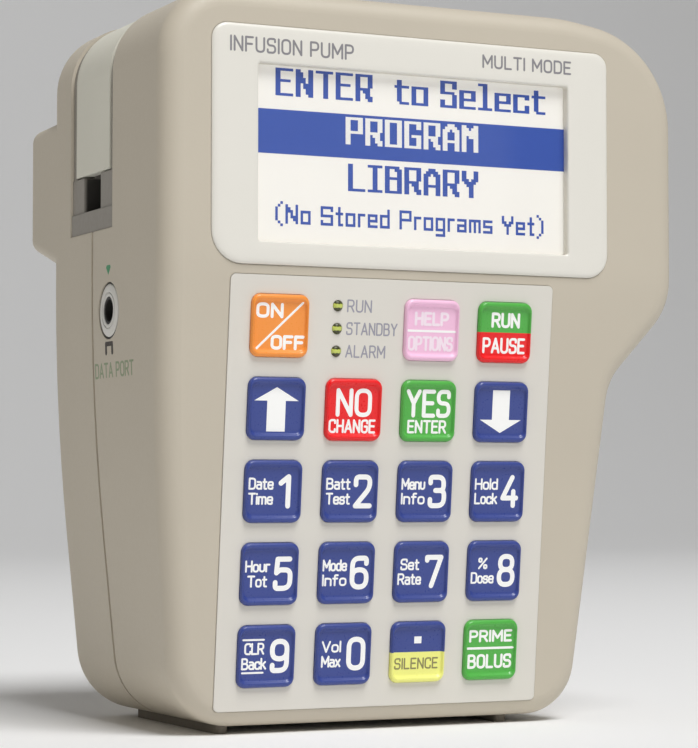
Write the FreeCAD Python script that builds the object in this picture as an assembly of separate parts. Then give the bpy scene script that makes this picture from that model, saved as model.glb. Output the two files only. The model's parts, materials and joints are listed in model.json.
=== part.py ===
import FreeCAD, Part
import math
import os

# Small ambulatory infusion pump, millimetres.
# X runs to the right seen from the front, Y to the rear, Z up; the origin is the centre of the base.

V = FreeCAD.Vector
X_AXIS = V(1, 0, 0)
Y_AXIS = V(0, 1, 0)
Z_AXIS = V(0, 0, 1)

# ---- case ----
WIDTH = 100.0
HEIGHT = 126.0
FRONT_Y = -35.0          # face of the head, around the screen
REAR_Y = 22.0            # flat rear face
BUMP_Y = 35.5            # rear face of the pole-mount housing
BUMP_LOW = 83.0          # where the housing leaves the rear face, at its bottom
BUMP_SLOPE = 0.293       # its underside rises this much for each millimetre to the rear
BUMP_TOP = 109.0
BUMP_ROUND = 2.4         # edge radius over its top and bottom
SEAM_Y = -1.0            # where the two shells meet
SEAM_WIDTH = 0.8         # the groove around the seam
SEAM_DEPTH = 0.5
CASE_BOTTOM = 1.3        # the case stands this high on its rails
BEND_Z = 79.0            # the keypad face leans back below this height
KEYPAD_TILT = 5.66       # degrees
WALL = 2.4
FRONT_ROUND = 3.6        # edge radius around the front
REAR_ROUND = 4.5         # edge radius around the rear
SIDE = WIDTH / 2

# ---- keypad, in its own tilted frame: x across, y up the slope, z outwards ----
KEY_PITCH_X = 14.4
KEY_PITCH_Y = 14.0
KEY_X0 = -28.7           # first column
KEY_Y0 = -10.05          # first row
KEY_WIDTH = 10.5
KEY_HEIGHT = 10.6
KEY_TRAVEL = 0.8
KEY_GAP = 0.06
KEY_TOP = 0.95           # crest of a key's rim above the keypad face
KEY_DISH = 0.55
FASCIA = (-6.9, -38.45, 62.0, 73.9, 1.0)     # centre x, centre y, width, height, corner radius
FASCIA_RECESS = 0.8
FASCIA_PROUD = 0.15
KEY_WINDOW = (-7.0, -38.05, 56.8, 69.3, 2.0)
KEY_FRAME_DEPTH = 3.4    # the board is clamped this far behind the keypad face

# ---- screen ----
BEZEL = (-3.1, 99.35, 76.8, 40.5, (5.6, 4.3, 2.7, 2.9))      # centre x, centre z, width, height, corners
SCREEN = (-3.05, 98.1, 60.1, 30.2, 0.6)
BEZEL_RECESS = 1.3
BEZEL_PROUD = 0.5

# ---- tube channel and door ----
CHANNEL_Y = -0.25
CHANNEL_WIDTH = 21.4
CHANNEL_LOW = 86.9
CHANNEL_RIGHT = 34.0
CHANNEL_DEPTH = 10.0
DOOR_WIDTH = 17.0
DOOR_LOW = 97.4
DOOR_THICK = 2.2
DOOR_RECESS = 0.3        # its outer face lies this far below the case
TUBE_Y = CHANNEL_Y + 0.5
GROOVE_WIDTH = 8.5
GROOVE_DEPTH = 8.8
PORT_LOW = 90.8
RAIL_RECESS = 0.6        # the channel's rims beside the door lie this far below the case side
PORT_RECESS = 0.45       # the face around the port lies this far below the case side
SILL_RECESS = 0.2        # and the sill under the port, this far
HINGE_X = 27.0
HINGE_R = 4.2
HINGE_Z = HEIGHT - HINGE_R
HINGE_GAP = 0.7
HINGE_PIN_R = 1.5

# ---- pump mechanism ----
FINGER_COUNT = 6
FINGER_PITCH = 5.0
FINGER_X0 = -14.5
FINGER_THICK = 4.4
FINGER_WIDTH = 8.0
FINGER_FOOT_Z = 106.9    # foot of a finger at the low end of its stroke
FINGER_TIP_Z = 117.6     # tip of a finger at the low end of its stroke
CAM_THROW = 0.9
CAM_R = 4.2
CAM_Z = 101.5
SHAFT_R = 2.0
BEARING_R = 5.0
GEAR_MODULE = 2.0 / 3.0
CAM_TEETH = 36
PINION_TEETH = 12
GEAR_X = 18.6
GEAR_WIDTH = 4.0
MOTOR_R = 8.0
MOTOR_Y = TUBE_Y + 11.5
MOTOR_Z = CAM_Z - math.sqrt(16.0 ** 2 - 11.5 ** 2)
CHEEK_TOP = 115.8
CHEEK_THICK = 4.0
LEFT_CHEEK_X = -21.5
RIGHT_CHEEK_X = 13.5
RUNNING = 0.05

# ---- battery compartment ----
CELL_R = 13.1
CELL_LENGTH = 50.0
CELL_Y = 6.7
CELL_Z = (29.8, 57.1)
TRAY = (-34.4, -8.1, 15.3, 24.0, REAR_Y - WALL, 71.6)    # low x, y, z and high x, y, z
TRAY_WALL = 1.2
BATTERY_DOOR = (-34.9, 16.4, 26.5, 70.6)                 # low x, z and the hinge x, high z
BATTERY_DOOR_THICK = 1.8
BATTERY_HINGE_R = 1.9
BATTERY_HINGE_Y = REAR_Y - BATTERY_HINGE_R
BATTERY_PIN_R = 0.8

# ---- fasteners: x and z of each case screw ----
SCREWS = ((-39.3, 11.5), (25.6, 10.2), (-43.2, 62.5), (41.5, 75.5), (-37.2, 98.0), (42.0, 98.0))
SCREW_R = 1.45
SCREW_LENGTH = 26.0
SCREW_SEAT_Y = 17.0
SCREW_HEAD_R = 2.7

# ---- small features ----
SOCKET_Y = -9.2
SOCKET_Z = 72.5
SOCKET_R = 5.0           # hole in the case
SOCKET_RING_R = 4.6
SOCKET_RING_TOP_R = 3.4
SOCKET_BARREL_R = 2.45   # dark barrel inside the ring
SOCKET_BORE_R = 1.95
RAIL_X = (-34.6, 19.4)
RAIL_Y = (-24.0, 13.5)
RAIL_WIDTH = 2.2
INSERT_R = 4.5
INSERT_BORE_R = 2.6
INSERT_LENGTH = 10.0
INSERT_Z = 97.0

KEYPAD = FreeCAD.Placement(V(0, FRONT_Y, BEND_Z), FreeCAD.Rotation(X_AXIS, 90 + KEYPAD_TILT))
HEAD = FreeCAD.Placement(V(0, FRONT_Y, 0), FreeCAD.Rotation(X_AXIS, 90))

KEYS = {
    "key_on_off": (0, 0), "key_help": (2, 0), "key_run_pause": (3, 0),
    "key_up": (0, 1), "key_no": (1, 1), "key_yes": (2, 1), "key_down": (3, 1),
    "key_1": (0, 2), "key_2": (1, 2), "key_3": (2, 2), "key_4": (3, 2),
    "key_5": (0, 3), "key_6": (1, 3), "key_7": (2, 3), "key_8": (3, 3),
    "key_9": (0, 4), "key_0": (1, 4), "key_silence": (2, 4), "key_prime": (3, 4),
}
LED_X = -17.9
LED_Y = (-6.35, -10.25, -14.1)
LED_R = 0.9


# ---------------------------------------------------------------- helpers

def in_xz(a, b):
    return V(a, 0, b)


def in_yz(a, b):
    return V(0, a, b)


def in_xy(a, b):
    return V(a, b, 0)


def rounded_face(corners, to_3d):
    """A flat face whose corners are (a, b, radius), with each radius as an arc."""
    edges = []
    ends = []
    count = len(corners)
    for i in range(count):
        before = FreeCAD.Vector(*corners[i - 1][:2], 0)
        here = FreeCAD.Vector(*corners[i][:2], 0)
        after = FreeCAD.Vector(*corners[(i + 1) % count][:2], 0)
        radius = corners[i][2]
        to_before = (before - here).normalize()
        to_after = (after - here).normalize()
        half = to_before.getAngle(to_after) / 2
        reach = radius / math.tan(half)
        start = here + to_before * reach
        end = here + to_after * reach
        bisector = (to_before + to_after).normalize()
        middle = here + bisector * (radius / math.sin(half) - radius)
        ends.append((start, middle, end, radius))
    for i, (start, middle, end, radius) in enumerate(ends):
        if radius > 0:
            arc = [to_3d(p.x, p.y) for p in (start, middle, end)]
            edges.append(Part.Arc(*arc).toShape())
        following = ends[(i + 1) % count][0]
        if end.distanceToPoint(following) > 1e-6:
            line = Part.LineSegment(to_3d(end.x, end.y), to_3d(following.x, following.y))
            edges.append(line.toShape())
    return Part.Face(Part.Wire(Part.__sortEdges__(edges)))


def box(x0, y0, z0, x1, y1, z1):
    return Part.makeBox(x1 - x0, y1 - y0, z1 - z0, V(x0, y0, z0))


def rod(x, y, z, radius, length, axis):
    return Part.makeCylinder(radius, length, V(x, y, z), axis)


def four(radius):
    """One corner radius for all corners, or four of them from the lower left, counter-clockwise."""
    return radius if isinstance(radius, tuple) else (radius,) * 4


def rectangle(cx, cy, width, height, radius):
    radii = four(radius)
    return [
        (cx - width / 2, cy - height / 2, radii[0]),
        (cx + width / 2, cy - height / 2, radii[1]),
        (cx + width / 2, cy + height / 2, radii[2]),
        (cx - width / 2, cy + height / 2, radii[3]),
    ]


def plate(rect, low, high, frame, grow=0.0):
    """A rounded plate on the keypad or head frame, from height low to high."""
    cx, cy, width, height, radius = rect
    radii = tuple(r + grow for r in four(radius))
    face = rounded_face(rectangle(cx, cy, width + 2 * grow, height + 2 * grow, radii), in_xy)
    face.translate(V(0, 0, low))
    shape = face.extrude(V(0, 0, high - low))
    return shape.transformed(frame.Matrix)


def slab(corners, x0, x1):
    """An outline in the YZ plane, extruded from x0 to x1."""
    face = rounded_face(corners, in_yz)
    face.translate(V(x0, 0, 0))
    return face.extrude(V(x1 - x0, 0, 0))


def border_edges(shape, chosen):
    """The edges that bound the faces for which chosen(face) is true."""
    faces = [face for face in shape.Faces if chosen(face)]
    edges = [edge for face in faces for edge in face.Edges]
    return [edge for edge in edges if sum(edge.isSame(other) for other in edges) == 1]


def save(name, shape):
    shape = shape.removeSplitter()
    if not shape.isValid():
        print("INVALID", name)
    solids = shape.Solids
    result = solids[0] if len(solids) == 1 else Part.makeCompound(solids)
    result.exportStep("parts/" + name + ".step")
    print(name, len(solids), round(sum(s.Volume for s in solids), 1))


# ---------------------------------------------------------------- case envelope

def case_outline(inset=0.0):
    """Front view of the case: a wide head, a sloping shoulder on the right and a narrower foot."""
    corners = [
        (-44.4, CASE_BOTTOM, 12.0),
        (-SIDE, 56.3, 450.0),
        (-SIDE, HEIGHT, 12.0),
        (27.5, HEIGHT, 40.0),
        (SIDE, 122.6, 18.5),
        (SIDE, 74.5, 12.0),
        (38.0, 61.1, 10.0),
        (32.6, CASE_BOTTOM, 9.5),
    ]
    face = rounded_face(corners, in_xz)
    if inset:
        face = face.makeOffset2D(-inset)
    return face


def case_profile(inset=0.0):
    """Side view of the case without its rear housing: upright head, leaning keypad face, flat rear."""
    over = 20.0
    low = CASE_BOTTOM - over
    lean = (BEND_Z - low) * math.tan(math.radians(KEYPAD_TILT))
    corners = [
        (FRONT_Y, HEIGHT + over, 0),
        (FRONT_Y, BEND_Z, 55.0),
        (FRONT_Y + lean, low, 0),
        (REAR_Y, low, 0),
        (REAR_Y, HEIGHT + over, 0),
    ]
    face = rounded_face(corners, in_yz)
    if inset:
        face = face.makeOffset2D(-inset)
    return face


def outline_prism(inset, y0, y1):
    face = case_outline(inset)
    face.translate(V(0, y0, 0))
    return face.extrude(V(0, y1 - y0, 0))


def housing_profile(inset=0.0):
    """Side view of the pole-mount housing, from inside the case to its rear face."""
    root = REAR_Y - 8
    corners = [
        (root, BUMP_LOW + (root - REAR_Y) * BUMP_SLOPE, 0),
        (BUMP_Y, BUMP_LOW + (BUMP_Y - REAR_Y) * BUMP_SLOPE, 0),
        (BUMP_Y, BUMP_TOP, 0),
        (root, BUMP_TOP + 0.5, 0),
    ]
    face = rounded_face(corners, in_yz)
    if inset:
        face = face.makeOffset2D(-inset)
    return face


def envelope(profile, inset=0.0):
    """The body with this side view, set in from the case outline by inset, with sharp edges."""
    profile.translate(V(-60, 0, 0))
    return outline_prism(inset, -60, 60).common(profile.extrude(V(120, 0, 0)))


def mount_housing():
    """The full-width housing at the rear of the head, rounded at its sides, then over its top and bottom."""
    body = envelope(housing_profile())
    sides = [edge for edge in body.Edges if edge.BoundBox.YMin > BUMP_Y - 0.1 and edge.BoundBox.XLength < 2]
    body = body.makeFillet(REAR_ROUND, sides)
    caps = border_edges(body, lambda face: abs(face.normalAt(0, 0).z) > 0.9)
    caps = [edge for edge in caps if edge.BoundBox.YMax > REAR_Y]
    return body.makeFillet(BUMP_ROUND, caps)


def outer_body():
    body = envelope(case_profile())
    front = border_edges(body, lambda face: face.CenterOfMass.y < FRONT_Y + 8)
    body = body.makeFillet(FRONT_ROUND, front)
    rear = border_edges(body, lambda face: face.CenterOfMass.y > REAR_Y - 1)
    body = body.makeFillet(REAR_ROUND, rear)
    return body.fuse(mount_housing()).removeSplitter()


def band(outer, inner, y0, y1):
    """The layer between two depths below the outline, all the way round."""
    return outline_prism(outer, y0, y1).cut(outline_prism(inner, y0 - 1, y1 + 1))


def channel_band(outer, inner, half_width, centre_y=CHANNEL_Y):
    """A layer of the tube channel: up the left side and across the top."""
    ring = band(outer, inner, centre_y - half_width, centre_y + half_width)
    return ring.common(box(-60, -60, CHANNEL_LOW, CHANNEL_RIGHT, 60, 140))


BODY = outer_body()
CAVITY = envelope(case_profile(WALL), WALL).fuse(envelope(housing_profile(WALL), WALL))


# ---------------------------------------------------------------- shells

def screw_post(x, z, y0, y1, radius):
    return rod(x, y0, z, radius, y1 - y0, Y_AXIS)


def channel_cut():
    return channel_band(-1, CHANNEL_DEPTH, CHANNEL_WIDTH / 2)


def outlet_cut():
    """The tunnel through the right shoulder that takes the outlet grommet."""
    half = GROOVE_WIDTH / 2 + 1.2
    low = HEIGHT - GROOVE_DEPTH - 1.2
    return box(CHANNEL_RIGHT, TUBE_Y - half, low, 60, TUBE_Y + half, HEIGHT - 1.3)


def seam_groove():
    half = SEAM_WIDTH / 2
    return band(-1, SEAM_DEPTH, SEAM_Y - half, SEAM_Y + half)


def gasket_ring():
    return band(0.9, 1.7, SEAM_Y, SEAM_Y + 0.9)


def case_gasket():
    return gasket_ring().cut(channel_cut()).cut(outlet_cut())


def rail(x, z1):
    face = rounded_face(rectangle(x, sum(RAIL_Y) / 2, RAIL_WIDTH, RAIL_Y[1] - RAIL_Y[0], 0.8), in_xy)
    return face.extrude(V(0, 0, z1))


def rails():
    return Part.makeCompound([rail(x, CASE_BOTTOM + 0.8) for x in RAIL_X])


def key_centre(column, row):
    return KEY_X0 + column * KEY_PITCH_X, KEY_Y0 - row * KEY_PITCH_Y


def front_case():
    half = box(-60, -60, -10, 60, SEAM_Y, 140)
    posts = [screw_post(x, z, -50, SEAM_Y, 2.5) for x, z in SCREWS]
    shell = BODY.cut(CAVITY)
    frame = plate(KEY_WINDOW, -KEY_FRAME_DEPTH, -1, KEYPAD, grow=2.4)
    inside = BODY.common(Part.makeCompound(posts + [frame]).common(half))
    shell = shell.common(half).fuse(inside)
    shell = shell.cut(plate(FASCIA, -FASCIA_RECESS, 5, KEYPAD))
    shell = shell.cut(plate(KEY_WINDOW, -20, 5, KEYPAD))
    shell = shell.cut(plate(BEZEL, -BEZEL_RECESS, 5, HEAD))
    shell = shell.cut(plate(SCREEN, -20, 5, HEAD, grow=0.8))
    shell = shell.cut(rod(-60, SOCKET_Y, SOCKET_Z, SOCKET_R, 30, X_AXIS))
    for x, z in SCREWS:
        shell = shell.cut(rod(x, SCREW_SEAT_Y - SCREW_LENGTH, z, SCREW_R, SCREW_LENGTH, Y_AXIS))
    return trim_shell(shell)


def rear_case():
    half = box(-60, SEAM_Y, -10, 60, 60, 140)
    shell = BODY.cut(CAVITY).common(half)
    inner = []
    for x, z in SCREWS:
        inner.append(screw_post(x, z, SEAM_Y, 13, 2.5))
        inner.append(screw_post(x, z, 13, 40, 4.0))
    left_rib = box(LEFT_CHEEK_X, TUBE_Y + 8.25, 99, LEFT_CHEEK_X + CHEEK_THICK, 40, 107)
    right_rib = box(RIGHT_CHEEK_X, MOTOR_Y + 8.75, 86, RIGHT_CHEEK_X + CHEEK_THICK, 40, 95)
    insert_post = rod(0, BUMP_Y - INSERT_LENGTH - 1.5, INSERT_Z, 7.0, 20, Y_AXIS)
    hinge_x = BATTERY_DOOR[2]
    for z0, z1 in ((13.6, 16.0), (71.0, 73.4)):
        inner.append(box(hinge_x - 2, REAR_Y - 4.6, z0, hinge_x + 2, REAR_Y - 1, z1))
    shell = shell.fuse(BODY.common(Part.makeCompound(inner + [left_rib, right_rib, insert_post])))
    for x, z in SCREWS:
        shell = shell.cut(rod(x, SEAM_Y - 1, z, 1.7, 40, Y_AXIS))
        shell = shell.cut(rod(x, SCREW_SEAT_Y, z, 3.0, 40, Y_AXIS))
    shell = shell.cut(rod(0, BUMP_Y - INSERT_LENGTH, INSERT_Z, INSERT_R, 20, Y_AXIS))
    low_x, low_z, _, high_z = BATTERY_DOOR
    shell = shell.cut(box(low_x - 0.3, REAR_Y - 3.8, low_z - 0.4, hinge_x + 2.4, 30, high_z + 0.4))
    shell = shell.cut(rod(hinge_x, BATTERY_HINGE_Y, 14.4, BATTERY_PIN_R, 58.2, Z_AXIS))
    thumb = rod(low_x, REAR_Y + 5.5, (low_z + high_z) / 2 - 7, 7.0, 14, Z_AXIS)
    shell = shell.cut(thumb)
    shell = shell.cut(gasket_ring())
    return trim_shell(shell)


def trim_shell(shell):
    """The cuts that both shells share: tube channel, outlet, rail grooves and the seam line."""
    for cut in (channel_cut(), outlet_cut(), rails(), seam_groove()):
        shell = shell.cut(cut)
    return shell


# ---------------------------------------------------------------- front of the case

def screen_bezel():
    face = plate(BEZEL, -BEZEL_RECESS, BEZEL_PROUD, HEAD, grow=-RUNNING)
    front = border_edges(face, lambda f: f.CenterOfMass.y < FRONT_Y - 0.4)
    face = face.makeChamfer(0.45, front)
    return face.cut(plate(SCREEN, -5, 5, HEAD))


def lcd_window():
    return plate(SCREEN, -0.7, 0.1, HEAD, grow=-RUNNING)


def lcd_module():
    cx, cz, width, height, _ = SCREEN
    glass = plate(SCREEN, -2.4, -BEZEL_RECESS - RUNNING, HEAD, grow=0.6)
    picture = plate(SCREEN, -2.0, -1.05, HEAD, grow=-RUNNING)
    tray = box(cx - width / 2 - 1.6, -32.6, cz - height / 2 - 1.2, cx + width / 2 + 1.6, -27.6,
               cz + height / 2 + 3.0)
    chip = box(cx - 14, -27.6, cz - 8, cx + 14, -26.0, cz + 8)
    return glass.fuse([picture, tray, chip])


def keypad_fascia():
    sheet = plate(FASCIA, -FASCIA_RECESS, FASCIA_PROUD, KEYPAD, grow=-RUNNING)
    for column, row in KEYS.values():
        x, y = key_centre(column, row)
        hole = (x, y, KEY_WIDTH + 2 * KEY_GAP, KEY_HEIGHT + 2 * KEY_GAP, 1.65)
        sheet = sheet.cut(plate(hole, -2, 2, KEYPAD))
    for y in LED_Y:
        hole = rod(LED_X, y, -2, LED_R + 0.05, 5, Z_AXIS)
        sheet = sheet.cut(hole.transformed(KEYPAD.Matrix))
    return sheet


def key_cap(column, row):
    """A square key with a raised rim, a dished top and a flange that the fascia holds back."""
    x, y = key_centre(column, row)
    cap = (x, y, KEY_WIDTH, KEY_HEIGHT, 1.5)
    body = plate(cap, -0.95, KEY_TOP, FreeCAD.Placement())
    body = body.makeFillet(0.45, border_edges(body, lambda f: f.CenterOfMass.z > KEY_TOP - 0.01))
    wide = rounded_face(rectangle(x, y, KEY_WIDTH - 1.5, KEY_HEIGHT - 1.5, 1.1), in_xy).OuterWire
    narrow = rounded_face(rectangle(x, y, KEY_WIDTH - 2.5, KEY_HEIGHT - 2.5, 0.8), in_xy).OuterWire
    wide.translate(V(0, 0, KEY_TOP + 0.001))
    narrow.translate(V(0, 0, KEY_TOP - KEY_DISH))
    body = body.cut(Part.makeLoft([narrow, wide], True))
    flange = plate((x, y, KEY_WIDTH + 1.6, KEY_HEIGHT + 1.6, 1.0), -1.55, -0.95, FreeCAD.Placement())
    return body.fuse(flange).transformed(KEYPAD.Matrix)


def dome_sheet():
    sheet = plate(KEY_WINDOW, -KEY_FRAME_DEPTH - 0.4, -KEY_FRAME_DEPTH, FreeCAD.Placement(), grow=0.8)
    for column, row in KEYS.values():
        x, y = key_centre(column, row)
        ball = Part.makeSphere(9.0, V(x, y, 0.6 - KEY_FRAME_DEPTH - 9.0))
        dome = ball.common(box(x - 5, y - 5, -KEY_FRAME_DEPTH - 0.2, x + 5, y + 5, 0))
        sheet = sheet.fuse(dome)
    return sheet.transformed(KEYPAD.Matrix)


def key_board():
    depth = -KEY_FRAME_DEPTH - 0.4
    board = plate(KEY_WINDOW, depth - 1.6, depth, FreeCAD.Placement(), grow=0.8)
    plug = box(-20, -64, depth - 4.6, 6, -58, depth - 1.6)
    return board.fuse(plug).transformed(KEYPAD.Matrix)


def led_lenses():
    lenses = []
    for y in LED_Y:
        pipe = rod(LED_X, y, -KEY_FRAME_DEPTH, LED_R, KEY_FRAME_DEPTH + 0.1, Z_AXIS)
        ball = Part.makeSphere(1.2, V(LED_X, y, -0.69))
        tip = ball.common(rod(LED_X, y, 0.05, LED_R, 2, Z_AXIS))
        lenses.append(pipe.fuse(tip).transformed(KEYPAD.Matrix))
    return Part.makeCompound(lenses)


def data_socket():
    """Dark body of the round socket: a flange in the hole, a barrel through the ring, and the bore."""
    body = rod(-48.6, SOCKET_Y, SOCKET_Z, 4.2, 11, X_AXIS)
    flange = rod(-49.7, SOCKET_Y, SOCKET_Z, SOCKET_R - RUNNING, 1.3, X_AXIS)
    barrel = rod(-49.85, SOCKET_Y, SOCKET_Z, SOCKET_BARREL_R, 2, X_AXIS)
    body = body.fuse([flange, barrel])
    return body.cut(rod(-60, SOCKET_Y, SOCKET_Z, SOCKET_BORE_R, 20, X_AXIS))


def data_socket_ring():
    """Light ring around the socket: it rises towards the middle and has one turned groove."""
    base = rod(-49.8, SOCKET_Y, SOCKET_Z, SOCKET_RING_R, 0.1, X_AXIS)
    slope = Part.makeCone(SOCKET_RING_TOP_R, SOCKET_RING_R, 0.2, V(-50, SOCKET_Y, SOCKET_Z), X_AXIS)
    ring = base.fuse(slope).cut(rod(-60, SOCKET_Y, SOCKET_Z, SOCKET_BARREL_R, 20, X_AXIS))
    groove = rod(-60, SOCKET_Y, SOCKET_Z, 3.2, 10.15, X_AXIS)
    return ring.cut(groove.cut(rod(-60, SOCKET_Y, SOCKET_Z, 3.0, 10.15, X_AXIS)))


# ---------------------------------------------------------------- tube channel and door

def groove_space():
    """Where the tube lies: a slot along the channel, open to the inlet port."""
    space = channel_band(0, GROOVE_DEPTH, GROOVE_WIDTH / 2, TUBE_Y)
    return space.common(box(-60, -60, PORT_LOW, 60, 60, 140))


def channel_insert():
    half = CHANNEL_WIDTH / 2
    tray = channel_band(2.5, CHANNEL_DEPTH, half)
    face = channel_band(PORT_RECESS, 3.0, half).common(box(-60, -60, 0, -40, 60, DOOR_LOW - 0.3))
    sill = channel_band(SILL_RECESS, 3.0, half).common(box(-60, -60, 0, -40, 60, PORT_LOW))
    rims = channel_band(RAIL_RECESS, 3.0, half)
    rims = rims.cut(channel_band(-1, 4.0, DOOR_WIDTH / 2 + 0.3))
    tray = tray.fuse([face, sill, rims])
    end = channel_band(0, CHANNEL_DEPTH, half)
    end_x = HINGE_X + HINGE_R + HINGE_GAP
    tray = tray.fuse(end.common(box(end_x, -60, 0, 60, 60, 140)))
    tray = tray.cut(groove_space().common(box(-60, -60, 0, end_x, 60, 140)))
    tunnel = box(end_x - 1, TUBE_Y - GROOVE_WIDTH / 2, HEIGHT - GROOVE_DEPTH, 60, TUBE_Y + GROOVE_WIDTH / 2,
                 HEIGHT - DOOR_THICK - 0.3)
    tray = tray.cut(tunnel)
    bay = DOOR_WIDTH / 2 + 0.3
    barrel = rod(HINGE_X, CHANNEL_Y - bay, HINGE_Z, HINGE_R + HINGE_GAP, 2 * bay, Y_AXIS)
    tray = tray.cut(barrel)
    for y0 in (CHANNEL_Y - 20, CHANNEL_Y + 5.3):
        tray = tray.cut(rod(HINGE_X, y0, HINGE_Z, HINGE_PIN_R, 14.7, Y_AXIS))
    half_finger = FINGER_WIDTH / 2 + 0.1
    last = FINGER_X0 + (FINGER_COUNT - 1) * FINGER_PITCH
    tray = tray.cut(box(FINGER_X0 - 2.5, TUBE_Y - half_finger, 110, last + 2.5, TUBE_Y + half_finger, 118))
    for shape in (air_sensor(), pressure_sensor()):
        tray = tray.cut(shape)
    return tray


def tube_door():
    """A strip that covers the tube channel, hooks over the corner and turns on two stub pins."""
    half = DOOR_WIDTH / 2
    strip = channel_band(DOOR_RECESS, DOOR_THICK, half)
    strip = strip.common(box(-60, -60, DOOR_LOW, HINGE_X, 60, 140))
    drum = rod(HINGE_X, CHANNEL_Y - half, HINGE_Z, HINGE_R, 2 * half, Y_AXIS)
    middle = box(HINGE_X - 10, CHANNEL_Y - 5.1, 0, HINGE_X + 10, CHANNEL_Y + 5.1, HEIGHT - DOOR_THICK)
    door = strip.fuse(drum.cut(middle))
    for y0 in (CHANNEL_Y - 20, CHANNEL_Y + 5.0):
        door = door.cut(rod(HINGE_X, y0, HINGE_Z, HINGE_PIN_R + RUNNING, 15, Y_AXIS))
    return door


def door_pins():
    outer = CHANNEL_WIDTH / 2
    pins = []
    for y0 in (CHANNEL_Y - outer, CHANNEL_Y + 5.3):
        pins.append(rod(HINGE_X, y0, HINGE_Z, HINGE_PIN_R, outer - 5.3, Y_AXIS))
    return Part.makeCompound(pins)


def door_platen():
    low = HEIGHT - DOOR_THICK - 3.2
    platen = box(-19, TUBE_Y - 3.9, low, 15, TUBE_Y + 3.9, HEIGHT - DOOR_THICK)
    ends = [edge for edge in platen.Edges if edge.BoundBox.XLength < 0.01
            and edge.BoundBox.ZLength < 0.01 and edge.BoundBox.ZMin < low + 0.01]
    return platen.makeFillet(1.5, ends)


def air_sensor():
    """Two jaws, one each side of the tube, set into the walls of the groove on the left side."""
    jaws = []
    for y0, y1 in ((TUBE_Y - 8.0, TUBE_Y - GROOVE_WIDTH / 2), (TUBE_Y + GROOVE_WIDTH / 2, TUBE_Y + 8.0)):
        jaws.append(box(-46.5, y0, 101, -40.8, y1, 108))
    return Part.makeCompound(jaws)


def pressure_sensor():
    """A flat load button in the floor of the groove."""
    return rod(-28, TUBE_Y, HEIGHT - CHANNEL_DEPTH - 3.5, 3.4, CHANNEL_DEPTH - GROOVE_DEPTH + 3.5, Z_AXIS)


def outlet_grommet():
    sleeve = outlet_cut().common(BODY)
    half = GROOVE_WIDTH / 2
    return sleeve.cut(box(0, TUBE_Y - half, HEIGHT - GROOVE_DEPTH, 60, TUBE_Y + half,
                          HEIGHT - DOOR_THICK - 0.3))


# ---------------------------------------------------------------- pump mechanism

def cam_phase(i):
    return 2 * math.pi * i / FINGER_COUNT


def finger_lift(i):
    return CAM_THROW * (1 + math.cos(cam_phase(i)))


def finger(i):
    x = FINGER_X0 + i * FINGER_PITCH
    lift = finger_lift(i)
    low = FINGER_FOOT_Z + lift
    top = FINGER_TIP_Z + lift
    half = FINGER_THICK / 2
    stem = box(x - half, TUBE_Y - FINGER_WIDTH / 2, low, x + half, TUBE_Y + FINGER_WIDTH / 2, top)
    tips = [edge for edge in stem.Edges
            if edge.BoundBox.YLength > 1 and edge.BoundBox.ZMin > top - 0.01]
    stem = stem.makeFillet(1.6, tips)
    return stem.fuse(box(x - half, TUBE_Y - 5, low, x + half, TUBE_Y + 5, low + 1.5))


def finger_block():
    """Guide block with two cheeks; the right cheek also carries the motor."""
    y0 = TUBE_Y - 8.25
    y1 = TUBE_Y + 8.25
    block = box(LEFT_CHEEK_X, y0, 110.5, RIGHT_CHEEK_X + CHEEK_THICK, y1, CHEEK_TOP)
    left = slab([(y0, 94, 2), (y1, 94, 2), (y1, CHEEK_TOP, 0), (y0, CHEEK_TOP, 0)],
                LEFT_CHEEK_X, LEFT_CHEEK_X + CHEEK_THICK)
    rear = MOTOR_Y + 8.75
    right = slab([(y0, 94, 2), (MOTOR_Y - 8, MOTOR_Z - 8.5, 3), (rear, MOTOR_Z - 8.5, 8), (rear, 98, 3),
                  (y1, CHEEK_TOP, 0), (y0, CHEEK_TOP, 0)], RIGHT_CHEEK_X, RIGHT_CHEEK_X + CHEEK_THICK)
    block = block.fuse([left, right])
    for i in range(FINGER_COUNT):
        x = FINGER_X0 + i * FINGER_PITCH
        half_x = FINGER_THICK / 2 + RUNNING
        half_y = FINGER_WIDTH / 2 + RUNNING
        block = block.cut(box(x - half_x, TUBE_Y - half_y, 100, x + half_x, TUBE_Y + half_y, 120))
    block = block.cut(rod(LEFT_CHEEK_X - 1, TUBE_Y, CAM_Z, BEARING_R, 60, X_AXIS))
    return block.cut(rod(0, MOTOR_Y, MOTOR_Z, 3.0, 30, X_AXIS))


def camshaft():
    shaft = rod(LEFT_CHEEK_X, TUBE_Y, CAM_Z, SHAFT_R, GEAR_X + GEAR_WIDTH + 1 - LEFT_CHEEK_X, X_AXIS)
    for i in range(FINGER_COUNT):
        x = FINGER_X0 + i * FINGER_PITCH
        y = TUBE_Y + CAM_THROW * math.sin(cam_phase(i))
        z = CAM_Z + CAM_THROW * math.cos(cam_phase(i))
        shaft = shaft.fuse(rod(x - FINGER_THICK / 2, y, z, CAM_R, FINGER_THICK, X_AXIS))
    return shaft


def cam_bearings():
    rings = []
    for x in (LEFT_CHEEK_X, RIGHT_CHEEK_X):
        ring = rod(x, TUBE_Y, CAM_Z, BEARING_R, CHEEK_THICK, X_AXIS)
        rings.append(ring.cut(rod(x - 1, TUBE_Y, CAM_Z, SHAFT_R + RUNNING, CHEEK_THICK + 2, X_AXIS)))
    return Part.makeCompound(rings)


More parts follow.
